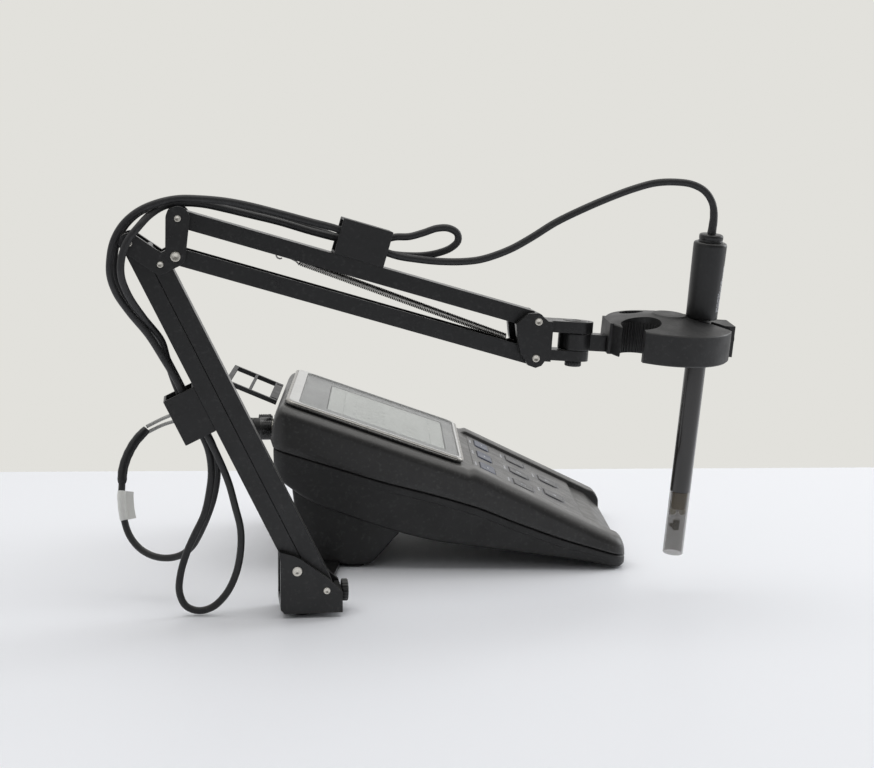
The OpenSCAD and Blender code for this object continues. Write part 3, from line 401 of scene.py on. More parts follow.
def spline(P, step=1.6):
    """Dense points on a centripetal curve through P (metres), and for each the index of the route point before it."""
    P = [np.array(p, float) for p in P]
    P = [2 * P[0] - P[1]] + P + [2 * P[-1] - P[-2]]
    out, tag = [], []
    for i in range(1, len(P) - 2):
        p0, p1, p2, p3 = P[i - 1:i + 3]
        t0 = 0; t1 = t0 + np.linalg.norm(p1 - p0) ** .5; t2 = t1 + np.linalg.norm(p2 - p1) ** .5; t3 = t2 + np.linalg.norm(p3 - p2) ** .5
        n = max(2, int(round(np.linalg.norm(p2 - p1) / (step * MM))))
        for k in range(n + (1 if i == len(P) - 3 else 0)):
            t = t1 + (t2 - t1) * k / n
            a1 = (t1 - t) / (t1 - t0) * p0 + (t - t0) / (t1 - t0) * p1
            a2 = (t2 - t) / (t2 - t1) * p1 + (t - t1) / (t2 - t1) * p2
            a3 = (t3 - t) / (t3 - t2) * p2 + (t - t2) / (t3 - t2) * p3
            b1 = (t2 - t) / (t2 - t0) * a1 + (t - t0) / (t2 - t0) * a2
            b2 = (t3 - t) / (t3 - t1) * a2 + (t - t1) / (t3 - t1) * a3
            out.append((t2 - t) / (t2 - t1) * b1 + (t - t1) / (t2 - t1) * b2); tag.append(i - 1)
    return np.array(out), tag

def carried(C):
    """A frame carried along the line without twist."""
    t = np.gradient(C, axis=0); t /= np.linalg.norm(t, axis=1)[:, None]
    n = np.cross(t[0], [0, 1, 0] if abs(t[0][1]) < .9 else [1, 0, 0]); n /= np.linalg.norm(n)
    ns = []
    for i in range(len(C)):
        n = n - t[i] * n.dot(t[i]); n /= np.linalg.norm(n); ns.append(n.copy())
    return t, np.array(ns)

def tube_mesh(C, t, n, r, sides=14, cap=True):
    v, f = [], []
    b = np.cross(t, n)
    rr = r if hasattr(r, "__len__") else [r] * len(C)
    for i in range(len(C)):
        for k in range(sides):
            a = 2 * math.pi * k / sides
            v.append(tuple(C[i] + rr[i] * (n[i] * math.cos(a) + b[i] * math.sin(a))))
    for i in range(len(C) - 1):
        for k in range(sides):
            k2 = (k + 1) % sides
            f.append((i * sides + k, i * sides + k2, (i + 1) * sides + k2, (i + 1) * sides + k))
    if cap:
        f.append(tuple(range(sides))[::-1]); f.append(tuple((len(C) - 1) * sides + k for k in range(sides)))
    return v, f

I4 = Matrix.Identity(4)
CABLE_D = 4.2 * MM
whole = []       # (point in metres, name of the route it belongs to)
def add(route, m, name, skip=0):
    for p in route[skip:]: whole.append((tuple(m @ Vector(p)), name))
add(front_route, ARM, "front")
add(up_a, ARM, "up_a", 1); add(el_a, ARM, "el_a", 1); add(po_a, ARM, "po_a", 1)
add(el_b[::-1], ARM, "el_b", 1); add(up_b[::-1], ARM, "up_b", 1); add(loop_r, ARM, "loop", 1); add(up_c, ARM, "up_c", 1)
add(el_c, ARM, "el_c", 1); add(po_c, ARM, "po_c", 1); add(tail_route, WORLD, "tail", 1)
LINE, TAG = spline([p for p, _ in whole])
LT, LN = carried(LINE)
def near(m, p): return int(np.argmin(np.linalg.norm(LINE - np.array(m @ Vector(p)), axis=1)))
def arc(a, b): return float(np.linalg.norm(np.diff(LINE[a:b + 1], axis=0), axis=1).sum())
reach = lambda d: next(i for i in range(2, len(LINE)) if sum(math.dist(LINE[k], LINE[k + 1]) for k in range(i)) > d)
marks = [0, reach(.0315), reach(.075), near(ARM, (146, -10, 224.5)), near(ARM, (56.2, -6, 205.8)), near(ARM, (-29, -10, 235.2)), near(ARM, (-67, -13, 239)),
  near(ARM, (-104.3, -14, 207)), near(ARM, (-84.5, -7, 163)), near(ARM, (-78, -2.4, 160.5)), near(ARM, (-97.5, -21, 208.5)), near(ARM, (-64, -5, 236.4)),
  near(ARM, (-29, -1.5, 230)), near(ARM, (-29, 7, 231.5)), near(ARM, (-67, 7, 237.6)), near(ARM, (-103, 6, 206)), near(ARM, (-83.5, 6, 163.5)),
  near(ARM, (-54.4, 6.2, 107.2)), near(WORLD, (-145.5, -75, 42)), len(LINE) - 1]
assert all(b > a for a, b in zip(marks, marks[1:])), marks
how = [("electrode",), ("electrode", "holder"), ("holder", "head"), ("head", "top_bar"), ("top_bar",), ("top_bar", "elbow"), ("elbow",), ("elbow", "rear_bar"),
  ("rear_bar",), ("rear_bar", "elbow"), ("elbow",), ("elbow", "top_bar"), ("top_bar",), ("top_bar", "elbow"), ("elbow",), ("elbow", "rear_bar"),
  ("rear_bar",), ("rear_bar", "arm_base"), ("arm_base", "meter")]
stands = ["cable_front"] * 4 + ["cable_upper"] + ["cable_elbow"] * 3 + ["cable_post"] + ["cable_elbow"] * 3 + ["cable_upper"] + ["cable_elbow"] * 3 + ["cable_post"] + ["cable_tail"] * 2
for i, (a, b) in enumerate(zip(marks, marks[1:])):
    v, f = tube_mesh(LINE[a:b + 1], LT[a:b + 1], LN[a:b + 1], CABLE_D / 2, cap=False if 0 < i < len(marks) - 2 else True)
    bodies = how[i]
    o = new_obj(f"cable_{i + 1:02d}", v, f, I4, bodies[0], M["cable_jacket"], smooth=60, replaces=(stands[i],), ride=len(bodies) == 1)
    if len(bodies) == 2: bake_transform(o)
CABLE_LEN = arc(0, len(LINE) - 1)
print("cable length m", round(CABLE_LEN, 3))

SL, _ = spline([tuple(WORLD @ Vector(p)) for p in sleeve_route], 1.2)
st, sn = carried(SL)
k = np.linspace(0, 1, len(SL))
sleeve_r = [(2.9 - .55 * max(0, 1 - x / .06) - .5 * max(0, (x - .93) / .07) + .07 * math.sin(x * 40)) * MM for x in k]
v, f = tube_mesh(SL, st, sn, sleeve_r, 18)
sleeve = new_obj("cable_sleeve_skin", v, f, I4, "meter", M["sleeve_black"], smooth=50, replaces=("cable_sleeve",))

# wrapped paper tag on the tail
i0, i1 = near(WORLD, (-193.2, -51.4, 44.5)), near(WORLD, (-195.1, -46.6, 61.5))
tagr = [(2.35 + .22 * (1 if 0 < k < i1 - i0 else 0) + .06 * math.sin(k * 1.7)) * MM for k in range(i1 - i0 + 1)]
v, f = tube_mesh(LINE[i0:i1 + 1], LT[i0:i1 + 1], LN[i0:i1 + 1], tagr, 20)
tag_o = new_obj("cable_tag_wrap", v, f, I4, "meter", M["tag_white"], smooth=50, replaces=("cable_tag",))
b_ = np.cross(LT[i0:i1 + 1], LN[i0:i1 + 1])
fl = []
for k in range(i1 - i0 + 1):
    for q in (0, 5.2):
        for w in (-.13, .13):
            fl.append(tuple(LINE[i0 + k] + (LN[i0 + k] * (2.35 + q) + b_[k] * (w + .35 * math.sin(q) * .6)) * MM))
ff = []
for k in range(i1 - i0):
    a, c = k * 4, k * 4 + 4
    ff += [(a, a + 2, c + 2, c), (a + 1, c + 1, c + 3, a + 3), (a + 2, a + 3, c + 3, c + 2), (a, c, c + 1, a + 1)]
e = (i1 - i0) * 4
ff += [(0, 1, 3, 2), (e, e + 2, e + 3, e + 1)]
new_obj("cable_tag_flag", fl, ff, I4, "meter", M["tag_white"])

# ---------------------------------------------------------------- thin leads, plugs and sockets
def at_x(x, y, z): return WORLD @ T((x, y, z)) @ R(90, "Y")
v, f = lathe([(1.2, -5.5), (1.5, -5.2), (2.2, -1), (3.0, .2), (3.4, .4), (3.4, 4.6), (3.9, 4.9), (6.6, 5.0), (7.0, 5.4), (7.0, 6.2), (6.7, 6.6),
    (6.7, 7.0), (7.05, 7.3), (7.05, 11.0), (6.7, 11.4), (6.7, 12.2), (7.1, 12.5), (7.1, 23.2), (6.9, 23.9), (6.2, 23.9), (6.2, 14.2)], 96,
    lambda a, i: .018 * (1 if math.sin(a * 30) > 0 else -1) if i in (12, 13) else 0)
bnc = new_obj("bnc_plug_body", v, f, at_x(-133.5, 34, 85.8), "meter", M["connector_black"], smooth=30, replaces=("bnc_plug",))
v, f = ring([(7.1, 16.6), (7.3, 16.8), (7.3, 17.4), (7.22, 17.6), (7.22, 23.4), (7.0, 24.05), (6.15, 24.05), (6.15, 16.6)], 64)
bring = new_obj("bnc_plug_nose", v, f, at_x(-133.5, 34, 85.8), "meter", M["dark_metal"], smooth=40)
ribs = lambda a, i: 0
prof = [(1.2, -6), (1.5, -5.6), (2.0, -2), (2.6, -.2), (3.0, 0), (3.0, 4.6)]
z = 4.9
prof += [(5.0, 4.9), (5.4, 5.3)]
for k in range(5): prof += [(5.4, z + .5 + k * 1.2), (5.1, z + .7 + k * 1.2), (5.1, z + 1.2 + k * 1.2), (5.4, z + 1.4 + k * 1.2)]
prof += [(5.4, 12.6), (5.1, 13), (4.4, 13.1), (4.4, 13.8)]
v, f = lathe(prof, 40)
dinp = new_obj("din_plug_body", v, f, at_x(-124.6, 60, 85.8), "meter", M["connector_black"], smooth=30)
for i, (route, mat, plug) in enumerate(((lead_1, M["lead_grey"], [bnc, bring]), (lead_2, M["lead_grey"], [dinp]))):
    C, _ = spline([tuple(WORLD @ Vector(p)) for p in route], 1.1)
    t, n = carried(C)
    v, f = tube_mesh(C, t, n, 1.1 * MM, 12)
    o = new_obj(f"lead_{i + 1}", v, f, I4, "meter", mat, smooth=60, replaces=("cable_leads",))
refine("bnc_socket", M["connector_metal"], .25, 2)
refine("din_socket", M["connector_black"], .3, 2)
refine("power_socket", M["connector_black"], .3, 2)
# contact inside the empty power socket
v, f = lathe([(.9, 0), (.9, 4.6), (.6, 5.1), (.1, 5.2)], 16)
new_obj("power_contact", v, f, WORLD @ T((-103, 122, 85.8)) @ R(-90, "Y"), "meter", M["connector_metal"])
v, f = lathe([(1.9, 0), (1.9, 3.2), (1.2, 3.4), (1.2, 1.2)], 20)

# ---------------------------------------------------------------- meter housing
def interp(poly, x):
    for (a, za), (b, zb) in zip(poly, poly[1:]):
        if a <= x <= b: return za + (zb - za) * (x - a) / (b - a) if b > a else zb
    return poly[0][1] if x < poly[0][0] else poly[-1][1]
TOP = [(-109, 84), (-107.6, 92), (-106.4, 97.6), (-105.4, 100.8), (-104.2, 102.8), (-102.8, 104.2), (-101, 104.98), D0, D1, K1, (112.4, 17.7), (114.6, 15.8), (116, 12.5)]
SEAM = [(-109, 84), (-107, 78.6), (-84, 71.5), (-39, 57.5), (-4, 48.5), (23, 40.5), (46, 31), (76, 20), (116, 8.2)]
LOW = [(-107, 68), (-101, 56), (-85, 44), (-56, 33), (-27, 23.5), (-4, 17.8), (40, 12), (84, 6), (112, .6), (116, 2.6)]
def smooth_poly(poly, x, w):
    return sum(interp(poly, x + w * s) * q for s, q in ((-1, .25), (-.5, .5), (0, .5), (.5, .5), (1, .25))) / 2
def side(x, d=0.):
    """Near side wall's Y at station x, inset d."""
    y = -4 * (x + 111) / 227.5
    if x > 104.5: y += 12 - math.sqrt(max(0, 144 - (x - 104.5) ** 2))
    if x < -99: y += 12 - math.sqrt(max(0, 144 - (x + 99) ** 2))
    return y + d
def step(x, a, b):
    t = max(0, min(1, (x - a) / (b - a))); return t * t * (3 - 2 * t)

def upper_section(x):
    zt = interp(TOP, x); zs = interp(SEAM, x)
    if -60 < x < 100: zs = smooth_poly(SEAM, x, 7)
    h = max(.02, zt - zs)
    rail = 2.67 * step(x, 15.5, 21)
    zr = zt + rail
    if x > 104: zr = zt + 2.67 * (1 - .5 * step(x, 105, 116) ** 2)
    zr = max(zr, zs + .02)
    ys = side(x)
    room = 20.4 - max(ys, -2)
    rh = min(8.2, max(1.5, room - 1.2)) if x > 90 else 8.2
    rv = min(7.0 + .8 * step(x, 10, 30), .8 * h + .01)
    lip = min(.55, .3 * h)
    half = [(ys + 2.2, zs), (ys + .55, zs), (ys + .1, zs + lip * .6), (ys, zs + lip)]
    for q in (.25, .5, .75, 1.): half.append((ys + .35 * q, zs + lip + (zr - rv - zs - lip) * q if zr - rv > zs + lip else zs + lip))
    for j in range(1, 11):
        a = math.pi / 2 * j / 10
        half.append((ys + .35 + rh * (1 - math.cos(a)), max(zs + lip, zr - rv) + (zr - max(zs + lip, zr - rv)) * math.sin(a)))
    # the margin stands over the keypad, whose front end drops to the recessed face
    mid = zt - 2.1 * step(x, 92.8, 94.6) if x <= 105 else max(zs + .01, min(zt, interp(TOP, 105) - 2.1 - (x - 105) * .9))
    y = ys + .35 + rh
    for yy, zz in ((19.2, zr), (20.0, zr - .12 * (zr - mid)), (20.5, zr - .45 * (zr - mid)), (20.8, mid + .12 * (zr - mid)), (21.4, mid), (24, mid), (34, mid), (60, mid), (85, mid)):
        y = max(yy, y + .12); half.append((min(y, 85 - .001 if yy < 85 else 85), zz))
    far = [(170 - y, z) for y, z in half[:-1]][::-1]
    return [(x, y, z) for y, z in half + far]

XS = [-108.9, -108.4, -107.8, -107.2, -106.6, -106, -105.4, -104.8, -104.1, -103.4, -102.4, -101, -99, -96, -92] + list(range(-88, 12, 4)) + [12, 13, 14, 14.7, 15.5, 16.3, 17.1, 18, 19, 20, 21, 23] + \
     list(range(26, 92, 3)) + [92.4, 93.2, 94, 94.8, 97, 100, 102, 103.5, 105, 105.6, 106.4, 107.2, 108, 109, 110, 111, 112, 113, 113.8, 114.5, 115.1, 115.5, 115.8]
v, f = loft([upper_section(float(x)) for x in XS])
upper = new_obj("shell_upper_skin", v, f, WORLD, "meter", M["housing_top"], smooth=32, replaces=("upper_housing",))

def lower_section(x):
    zs = interp(SEAM, x); zl = interp(LOW, x) if x > -107 else 68
    if -60 < x < 100: zs = smooth_poly(SEAM, x, 7)
    if -95 < x < 100: zl = smooth_poly(LOW, x, 9)
    zs -= .55
    zl = min(zl, zs - 1)
    h = zs - zl
    ys = side(x, .4)
    ledge = min(5.2, .42 * h)
    g = .75 * step(x, -60, -10) * (1 - step(x, 96, 108))
    rb = min(2.6, .3 * h)
    half = [(ys + 3, zs), (ys + .75, zs), (ys + .25, zs - .5), (ys, zs - .8), (ys + .05, zs - ledge + .5), (ys + .15 + g * .2, zs - ledge + .15), (ys + .2 + g, zs - ledge - .1),
            (ys + .3 + g, zs - ledge - .6)]
    for q in (.35, .7, 1.): half.append((ys + .3 + g + .9 * q, zs - ledge - .6 + (zl + rb - zs + ledge + .6) * q))
    for j in range(1, 7):
        a = math.pi / 2 * j / 6
        half.append((ys + 1.2 + g + rb * 1.2 * (1 - math.cos(a)), zl + rb - rb * math.sin(a)))
    y = half[-1][0]
    for yy in (16, 30, 60, 85):
        y = max(yy, y + .2); half.append((y, zl))
    far = [(170 - y, z) for y, z in half[:-1]][::-1]
    return [(x, y, z) for y, z in half + far]
XL = [-106.9, -106.2, -105.4, -104.4, -103, -101, -99, -96, -92, -88] + list(range(-85, 100, 4)) + [99, 101, 103, 105, 107, 108.6, 110, 111.4, 112.6, 113.6, 114.5, 115.2, 115.7]
v, f = loft([lower_section(float(x)) for x in XL])
lower = new_obj("shell_lower_skin", v, f, WORLD, "meter", M["housing_base"], smooth=32, replaces=("lower_housing",))
# battery pod under the rear
pod = [(-97, 62), (-91, 8), (-89.6, 1.6), (-47.6, 1.6), (-44.6, 3.4), (-26, 24), (-18, 32), (-50, 48)]
v = [(x, y, z) for y in (9, 161) for x, z in pod]
n_ = len(pod)
f = [tuple(range(n_)), tuple(range(n_, 2 * n_))[::-1]] + [(i, n_ + i, n_ + (i + 1) % n_, (i + 1) % n_) for i in range(n_)]
me = bpy.data.meshes.new("pod_skin"); me.from_pydata([tuple(WORLD @ Vector(p)) for p in v], [], f)
bm = bmesh.new(); bm.from_mesh(me)
bmesh.ops.recalc_face_normals(bm, faces=bm.faces)
soften(bm, 2.4, 4, 12)
bm.to_mesh(me); bm.free()
podo = finish_mesh("pod_skin", me, "meter", M["housing_base"], smooth=35)
w = podo.modifiers.new("normals", "WEIGHTED_NORMAL"); w.keep_sharp = True

def cutter(name, m, lo, hi, r=0):
    me = bpy.data.meshes.new(name)
    v, f = prism(rounded([(lo[0], lo[1], r), (hi[0], lo[1], r), (hi[0], hi[1], r), (lo[0], hi[1], r)], 4) if r else [(lo[0], lo[1]), (hi[0], lo[1]), (hi[0], hi[1]), (lo[0], hi[1])], lo[2], hi[2])
    me.from_pydata([tuple(m @ Vector(p)) for p in v], [], f)
    bm = bmesh.new(); bm.from_mesh(me); bmesh.ops.recalc_face_normals(bm, faces=bm.faces); bm.to_mesh(me); bm.free()
    o = bpy.data.objects.new(name, me); bpy.context.scene.collection.objects.link(o)
    return o

def carve(o, *cutters):
    for c in cutters:
        md = o.modifiers.new("cut", "BOOLEAN"); md.object = c; md.solver = "EXACT"
    bpy.context.view_layer.update()
    dg = bpy.context.evaluated_depsgraph_get()
    me = bpy.data.meshes.new_from_object(o.evaluated_get(dg))
    o.modifiers.clear()
    o.data = me
    me.polygons.foreach_set("use_smooth", [True] * len(me.polygons)); me.set_sharp_from_angle(angle=rad(32))
    for c in cutters: bpy.data.objects.remove(c)

# the connector recess, the door and the foot seats, cut into the shells
rec = T((0, 0, 0)) @ WORLD
carve(upper, cutter("c1", WORLD @ T((-116, 0, 0)) @ R(90, "Y"), (-92.7, 18, 0), (-78.6, 152, 10.9), 3))
carve(podo, cutter("c2", WORLD, (-63.8, 62, -2), (-50, 122, 2.2), 1.2), cutter("c3", WORLD, (-89.3, 5, -2), (-65.7, 61, 4.05)))
refine("rear_panel", M["connector_black"], .3, 2)
refine("battery_door", M["housing_base"], .4, 2)
v, f = [], []
for k in range(5):
    part = prism(rounded([(-63, 80 + k * 5, .5), (-51, 80 + k * 5, .5), (-51, 81.6 + k * 5, .5), (-63, 81.6 + k * 5, .5)], 3), 1.35, 1.9, 0)
    v, f = join((v, f), part)
new_obj("battery_door_grip", v, f, WORLD, "meter", M["housing_base"])
refine("housing_screws", M["steel"], .15, 1)
refine("bracket_screws", M["steel"], .2, 1)
refine("rubber_feet", M["foot_rubber"], .35, 3)
for nm, mk in (("main_board", "board_green"), ("batteries", "battery_wrap")):
    N[nm].data.materials.clear(); N[nm].data.materials.append(M[mk])

# ---------------------------------------------------------------- display
def bezel_outline(d, r): return rounded([(.5 + d, -75 + d, r), (120.5 - d, -75 + d, r), (120.5 - d, 75 - d, r), (.5 + d, 75 - d, r)], 8)
def ringed(levels, m=DISP):
    """Closed band of equal outlines, the last level joined back to the first: levels are (points, z)."""
    v, f = [], []
    n = len(levels[0][0])
    for poly, z in levels: v += [(p[0], p[1], z) for p in poly]
    c = len(levels)
    for i in range(c):
        j = (i + 1) % c
        for k in range(n):
            q = (k + 1) % n
            f.append((i * n + k, i * n + q, j * n + q, j * n + k))
    return v, f
def window_outline(d, r=4.8): return rounded([(9.2 + d, -70.8 + d, r), (116.8 - d, -70.8 + d, r), (116.8 - d, 70.8 - d, r), (9.2 + d, 70.8 - d, r)], 8)
# the plinth under the lip, near-black as painted shade for the shadow under the lip's overhang, then the bright lip,
# and the painted frame
v, f = ringed([(bezel_outline(.9, 7.4), -1.5), (bezel_outline(.9, 7.4), 1.6), (bezel_outline(3, 6), 1.7), (bezel_outline(3, 6), -1.5)])
new_obj("bezel_plinth", v, f, DISP, "meter", M["dark_pocket"], smooth=40)
v, f = ringed([(bezel_outline(.8, 7.3), 1.3), (bezel_outline(.25, 7.8), 1.45), (bezel_outline(.0, 8), 1.8), (bezel_outline(.0, 8), 2.9), (bezel_outline(.25, 7.8), 3.45), (bezel_outline(.8, 7.3), 3.75),
               (bezel_outline(1.6, 6.7), 3.8), (bezel_outline(1.9, 6.5), 3.4), (bezel_outline(3.2, 5.6), 3.2), (bezel_outline(3.2, 5.6), 1.3)])
new_obj("bezel_lip", v, f, DISP, "meter", M["bezel_edge"], smooth=50)
v, f = ringed([(bezel_outline(1.75, 6.6), 1.5), (bezel_outline(1.75, 6.6), 3.7), (bezel_outline(1.95, 6.5), 4.1), (bezel_outline(2.4, 6.2), 4.32), (window_outline(-.55, 5.2), 4.34), (window_outline(-.2, 5.0), 4.2), (window_outline(-.12, 5.0), 3.0), (window_outline(-.12, 5.0), 1.5)])
new_obj("bezel_face", v, f, DISP, "meter", M["bezel_silver"], smooth=40, replaces=("display_bezel",))
v, f = prism(window_outline(0), 3.16, 4.3, .18, 2)
new_obj("cover_glass", v, f, DISP, "meter", M["window_clear"], smooth=30, replaces=("display_window",))
# printed border under the glass: outer tone, inner dark line
def rect(u0, u1, v0, v1, r=1.5): return rounded([(u0, v0, r), (u1, v0, r), (u1, v1, r), (u0, v1, r)], 8)
v, f = ringed([(window_outline(.1), 2.9), (window_outline(.1), 3.12), (rect(28, 108, -54, 54), 3.12), (rect(28, 108, -54, 54), 2.9)])
new_obj("window_border", v, f, DISP, "meter", M["frame_print"], smooth=30)
v, f = ringed([(rect(27.2, 108.8, -54.8, 54.8, 2), 3.125), (rect(27.2, 108.8, -54.8, 54.8, 2), 3.145), (rect(28, 108, -54, 54), 3.145), (rect(28, 108, -54, 54), 3.125)])
new_obj("window_border_line", v, f, DISP, "meter", M["dark_pocket"], smooth=30)
v, f = prism(rect(28, 108, -54, 54), 0, 2.98)
new_obj("lcd_face", v, f, DISP, "meter", M["lcd_grey"], smooth=30, replaces=("lcd_module",))
# unlit segments of the display, a shade darker than its face
def seg_digit(u, w, h, y, t=1.1):
    """Seven bars of one digit; u is down the slope, y across."""
    s = []
    def hbar(uc): s.append(rect(uc - t / 2, uc + t / 2, y - w / 2 + t * .8, y + w / 2 - t * .8, .4))
    def vbar(u0, u1, yc): s.append(rect(u0 + t * .7, u1 - t * .7, yc - t / 2, yc + t / 2, .4))
    hbar(u); hbar(u + h / 2); hbar(u + h)
    for a, b in ((u, u + h / 2), (u + h / 2, u + h)):
        vbar(a, b, y - w / 2); vbar(a, b, y + w / 2)
    return s
M["segment"] = moulded("lcd_segment", (.27, .29, .27), rough=.25, grain=.05, tone=.06)
v, f = [], []
for i, y in enumerate((-34, -20, -4, 10)):
    for poly in seg_digit(46, 9.5, 20, y, 1.6): v, f = join((v, f), prism(poly, 2.98, 2.99))
for i, y in enumerate((24, 31, 40)):
    for poly in seg_digit(55, 4.6, 10, y, .9): v, f = join((v, f), prism(poly, 2.98, 2.99))
for i, y in enumerate((-40, -33, -22, -15, -8)):
    for poly in seg_digit(80, 4.6, 9, y, .9): v, f = join((v, f), prism(poly, 2.98, 2.99))
v, f = join((v, f), prism(rect(64.4, 66, -11.6, -10.2, .5), 2.98, 2.99), prism(rect(38, 38.8, -48, 48, .2), 2.98, 2.99), prism(rect(98, 98.8, -48, 48, .2), 2.98, 2.99))
new_obj("lcd_segments", v, f, DISP, "meter", M["segment"], smooth=30)

# ---------------------------------------------------------------- keypad
refine("keypad_overlay", M["keypad_film"], .12, 2)
SOFT = [(18, -42), (18, 0), (18, 42)]
KEYC = [(44, -42), (44, 0), (44, 42), (68, -24), (68, 24)]
def key_skin(i, c, sz, r, mat, names):
    """Domed membrane key with a rolled edge and a shallow dish."""
    out = rounded([(-sz[0] / 2 + .2, -sz[1] / 2 + .2, r), (sz[0] / 2 - .2, -sz[1] / 2 + .2, r), (sz[0] / 2 - .2, sz[1] / 2 - .2, r), (-sz[0] / 2 + .2, sz[1] / 2 - .2, r)], 6)
    v, f = [], []
    n = len(out)
    lv = [(1., -2.9), (1., .35), (.985, .72), (.955, .95), (.91, 1.06), (.84, 1.08), (.7, .98), (.45, .86), (.2, .82)]
    for s, z in lv: v += [(p[0] * s, p[1] * s, z) for p in out]
    for a in range(len(lv) - 1):
        for k in range(n):
            q = (k + 1) % n
            f.append((a * n + k, a * n + q, (a + 1) * n + q, (a + 1) * n + k))
    f.append(tuple(range(n))[::-1]); f.append(tuple((len(lv) - 1) * n + k for k in range(n)))
    m = KEYS @ T((c[0], c[1], 0))
    return new_obj(names[1], v, f, m, names[0], mat, smooth=40, replaces=(names[0],))
for i, c in enumerate(SOFT): key_skin(i, c, (11, 24), 2.5, M["soft_key_blue"], (f"soft_key_{i + 1}", f"soft_key_{i + 1}_cap"))
for i, c in enumerate(KEYC): key_skin(i, c, (14, 21), 3.5, M["key_dark"], (f"key_{i + 1}", f"key_{i + 1}_cap"))
def mark(kind, u, y, s=1.):
    """Generic printed marks: arrows, bars, a ring, a dot row."""
    parts = []
    if kind == "up": parts.append([(u + 2.2 * s, y - 2.4 * s), (u + 2.2 * s, y + 2.4 * s), (u - 2 * s, y)])
    if kind == "down": parts.append([(u - 2.2 * s, y + 2.4 * s), (u - 2.2 * s, y - 2.4 * s), (u + 2 * s, y)])
    if kind == "bars":
        for k in range(3): parts.append([(u - 2 * s + k * 1.7 * s, y - 3 * s), (u - 1.2 * s + k * 1.7 * s, y - 3 * s), (u - 1.2 * s + k * 1.7 * s, y + (3 - k) * s), (u - 2 * s + k * 1.7 * s, y + (3 - k) * s)])
    if kind == "dash": parts.append([(u - .45 * s, y - 3.4 * s), (u + .45 * s, y - 3.4 * s), (u + .45 * s, y + 3.4 * s), (u - .45 * s, y + 3.4 * s)])
    if kind == "dots":
        for k in (-2, 0, 2): parts.append([(u + .55 * s * math.cos(a), y + k * s + .55 * s * math.sin(a)) for a in [math.pi * 2 * j / 10 for j in range(10)]])
    v, f = [], []
    for p in parts: v, f = join((v, f), prism(p, -.06, .06))
    if kind == "ring":
        a = [math.pi * 2 * j / 24 for j in range(24)]
        lo = [[(u + r * s * math.cos(x), y + r * s * math.sin(x)) for x in a] for r in (2.4, 1.75)]
        v, f = ringed([(lo[0], -.06), (lo[0], .06), (lo[1], .06), (lo[1], -.06)])
        v, f = join((v, f), prism([(u - 2.9 * s, y - .3 * s), (u - .2 * s, y - .3 * s), (u - .2 * s, y + .3 * s), (u - 2.9 * s, y + .3 * s)], -.06, .06))
    return v, f
for i, (c, k) in enumerate(zip(KEYC, ("ring", "bars", "dots", "up", "down"))):
    v, f = mark(k, 0, 0, .8)
    new_obj(f"key_{i + 1}_mark", v, f, KEYS @ T((c[0], c[1], .88)), f"key_{i + 1}", M["print_white"])
for i, c in enumerate(SOFT):
    v, f = mark("dash", 0, 0, .8)
    new_obj(f"soft_key_{i + 1}_mark", v, f, KEYS @ T((c[0], c[1], .88)), f"soft_key_{i + 1}", M["print_white"])
v, f = [], []
for u, y in ((33.5, -42), (33.5, 0), (33.5, 42), (57, -24), (57, 24), (9.4, -42), (9.4, 0), (9.4, 42)):
    for k, w in enumerate((-5.4, -2.6, .6, 3.6)):
        l = (1.1, 1.4, .9, 1.3)[k]
        v, f = join((v, f), prism(rect(u - .6, u + .6, y + w - l, y + w + l, .3), .3, .345))
new_obj("keypad_print", v, f, KEYS, "meter", M["print_white"])
v, f = [], []
for c in KEYC:
    a = rounded([(c[0] - 8.4, c[1] - 12, 4.2), (c[0] + 8.4, c[1] - 12, 4.2), (c[0] + 8.4, c[1] + 12, 4.2), (c[0] - 8.4, c[1] + 12, 4.2)], 6)
    b = rounded([(c[0] - 8.15, c[1] - 11.75, 4.05), (c[0] + 8.15, c[1] - 11.75, 4.05), (c[0] + 8.15, c[1] + 11.75, 4.05), (c[0] - 8.15, c[1] + 11.75, 4.05)], 6)
    v, f = join((v, f), ringed([(a, .3), (a, .345), (b, .345), (b, .3)]))
new_obj("keypad_outlines", v, f, KEYS, "meter", M["print_blue"])

# ---------------------------------------------------------------- guard
refine("connector_guard", M["clip_black"], .55, 3)

# ---------------------------------------------------------------- arm
refine("arm_bracket", M["arm_black"], .5, 2)
for nm, w in (("base_block", .55), ("lower_rear_bar", .45), ("lower_front_bar", .45), ("upper_top_bar", .45), ("upper_bottom_bar", .45), ("elbow_plates", .5), ("head_bracket", .5), ("holder_link", .5)):
    refine(nm, M["arm_black"], w, 3)
for nm in ("post_clip", "upper_clip"): refine(nm, M["clip_black"], .4, 3)
refine("elbow_spacers", M["arm_black"], .2, 1)
refine("swivel_bolt", M["steel"], .3, 2)
def pins(name, pairs, body, l=34.7):
    """Turned pins with a chamfer and a faint centre dimple in each end."""
    v, f = [], []
    for p, r in pairs:
        h = l / 2
        prof = [(.0005, -h + .3), (r * .25, -h + .26), (r * .5, -h + .05), (r * .8, -h), (r - .15, -h + .04), (r, -h + .3), (r, h - .3), (r - .15, h - .04), (r * .8, h), (r * .5, h - .05), (r * .25, h - .26), (.0005, h - .3)]
        v, f = join((v, f), moved(lathe(prof, 32), T((p[0], 0, p[1])) @ R(90, "X")))
    new_obj(name + "_turned", v, f, ARM, body, M["steel"], smooth=40, replaces=(name,))
pins("base_pins", ((B1, 2.8), (B2, 2)), "arm_base")
pins("elbow_pins", ((T1, 1.9), (T2, 1.9), (P_, 2.9), (S_, 1.95)), "elbow")
pins("head_pins", ((H1, 2.25), (H2, 2.25)), "head")
def knurl(n, d): return lambda a, i: d * math.cos(a * n)
prof = [(1.58, -3), (1.58, 0), (4.6, 0), (5.9, .2), (6.3, .6), (6.3, 3.4), (5.9, 3.95), (4.6, 4.2), (2.4, 4.1), (.001, 3.9)]
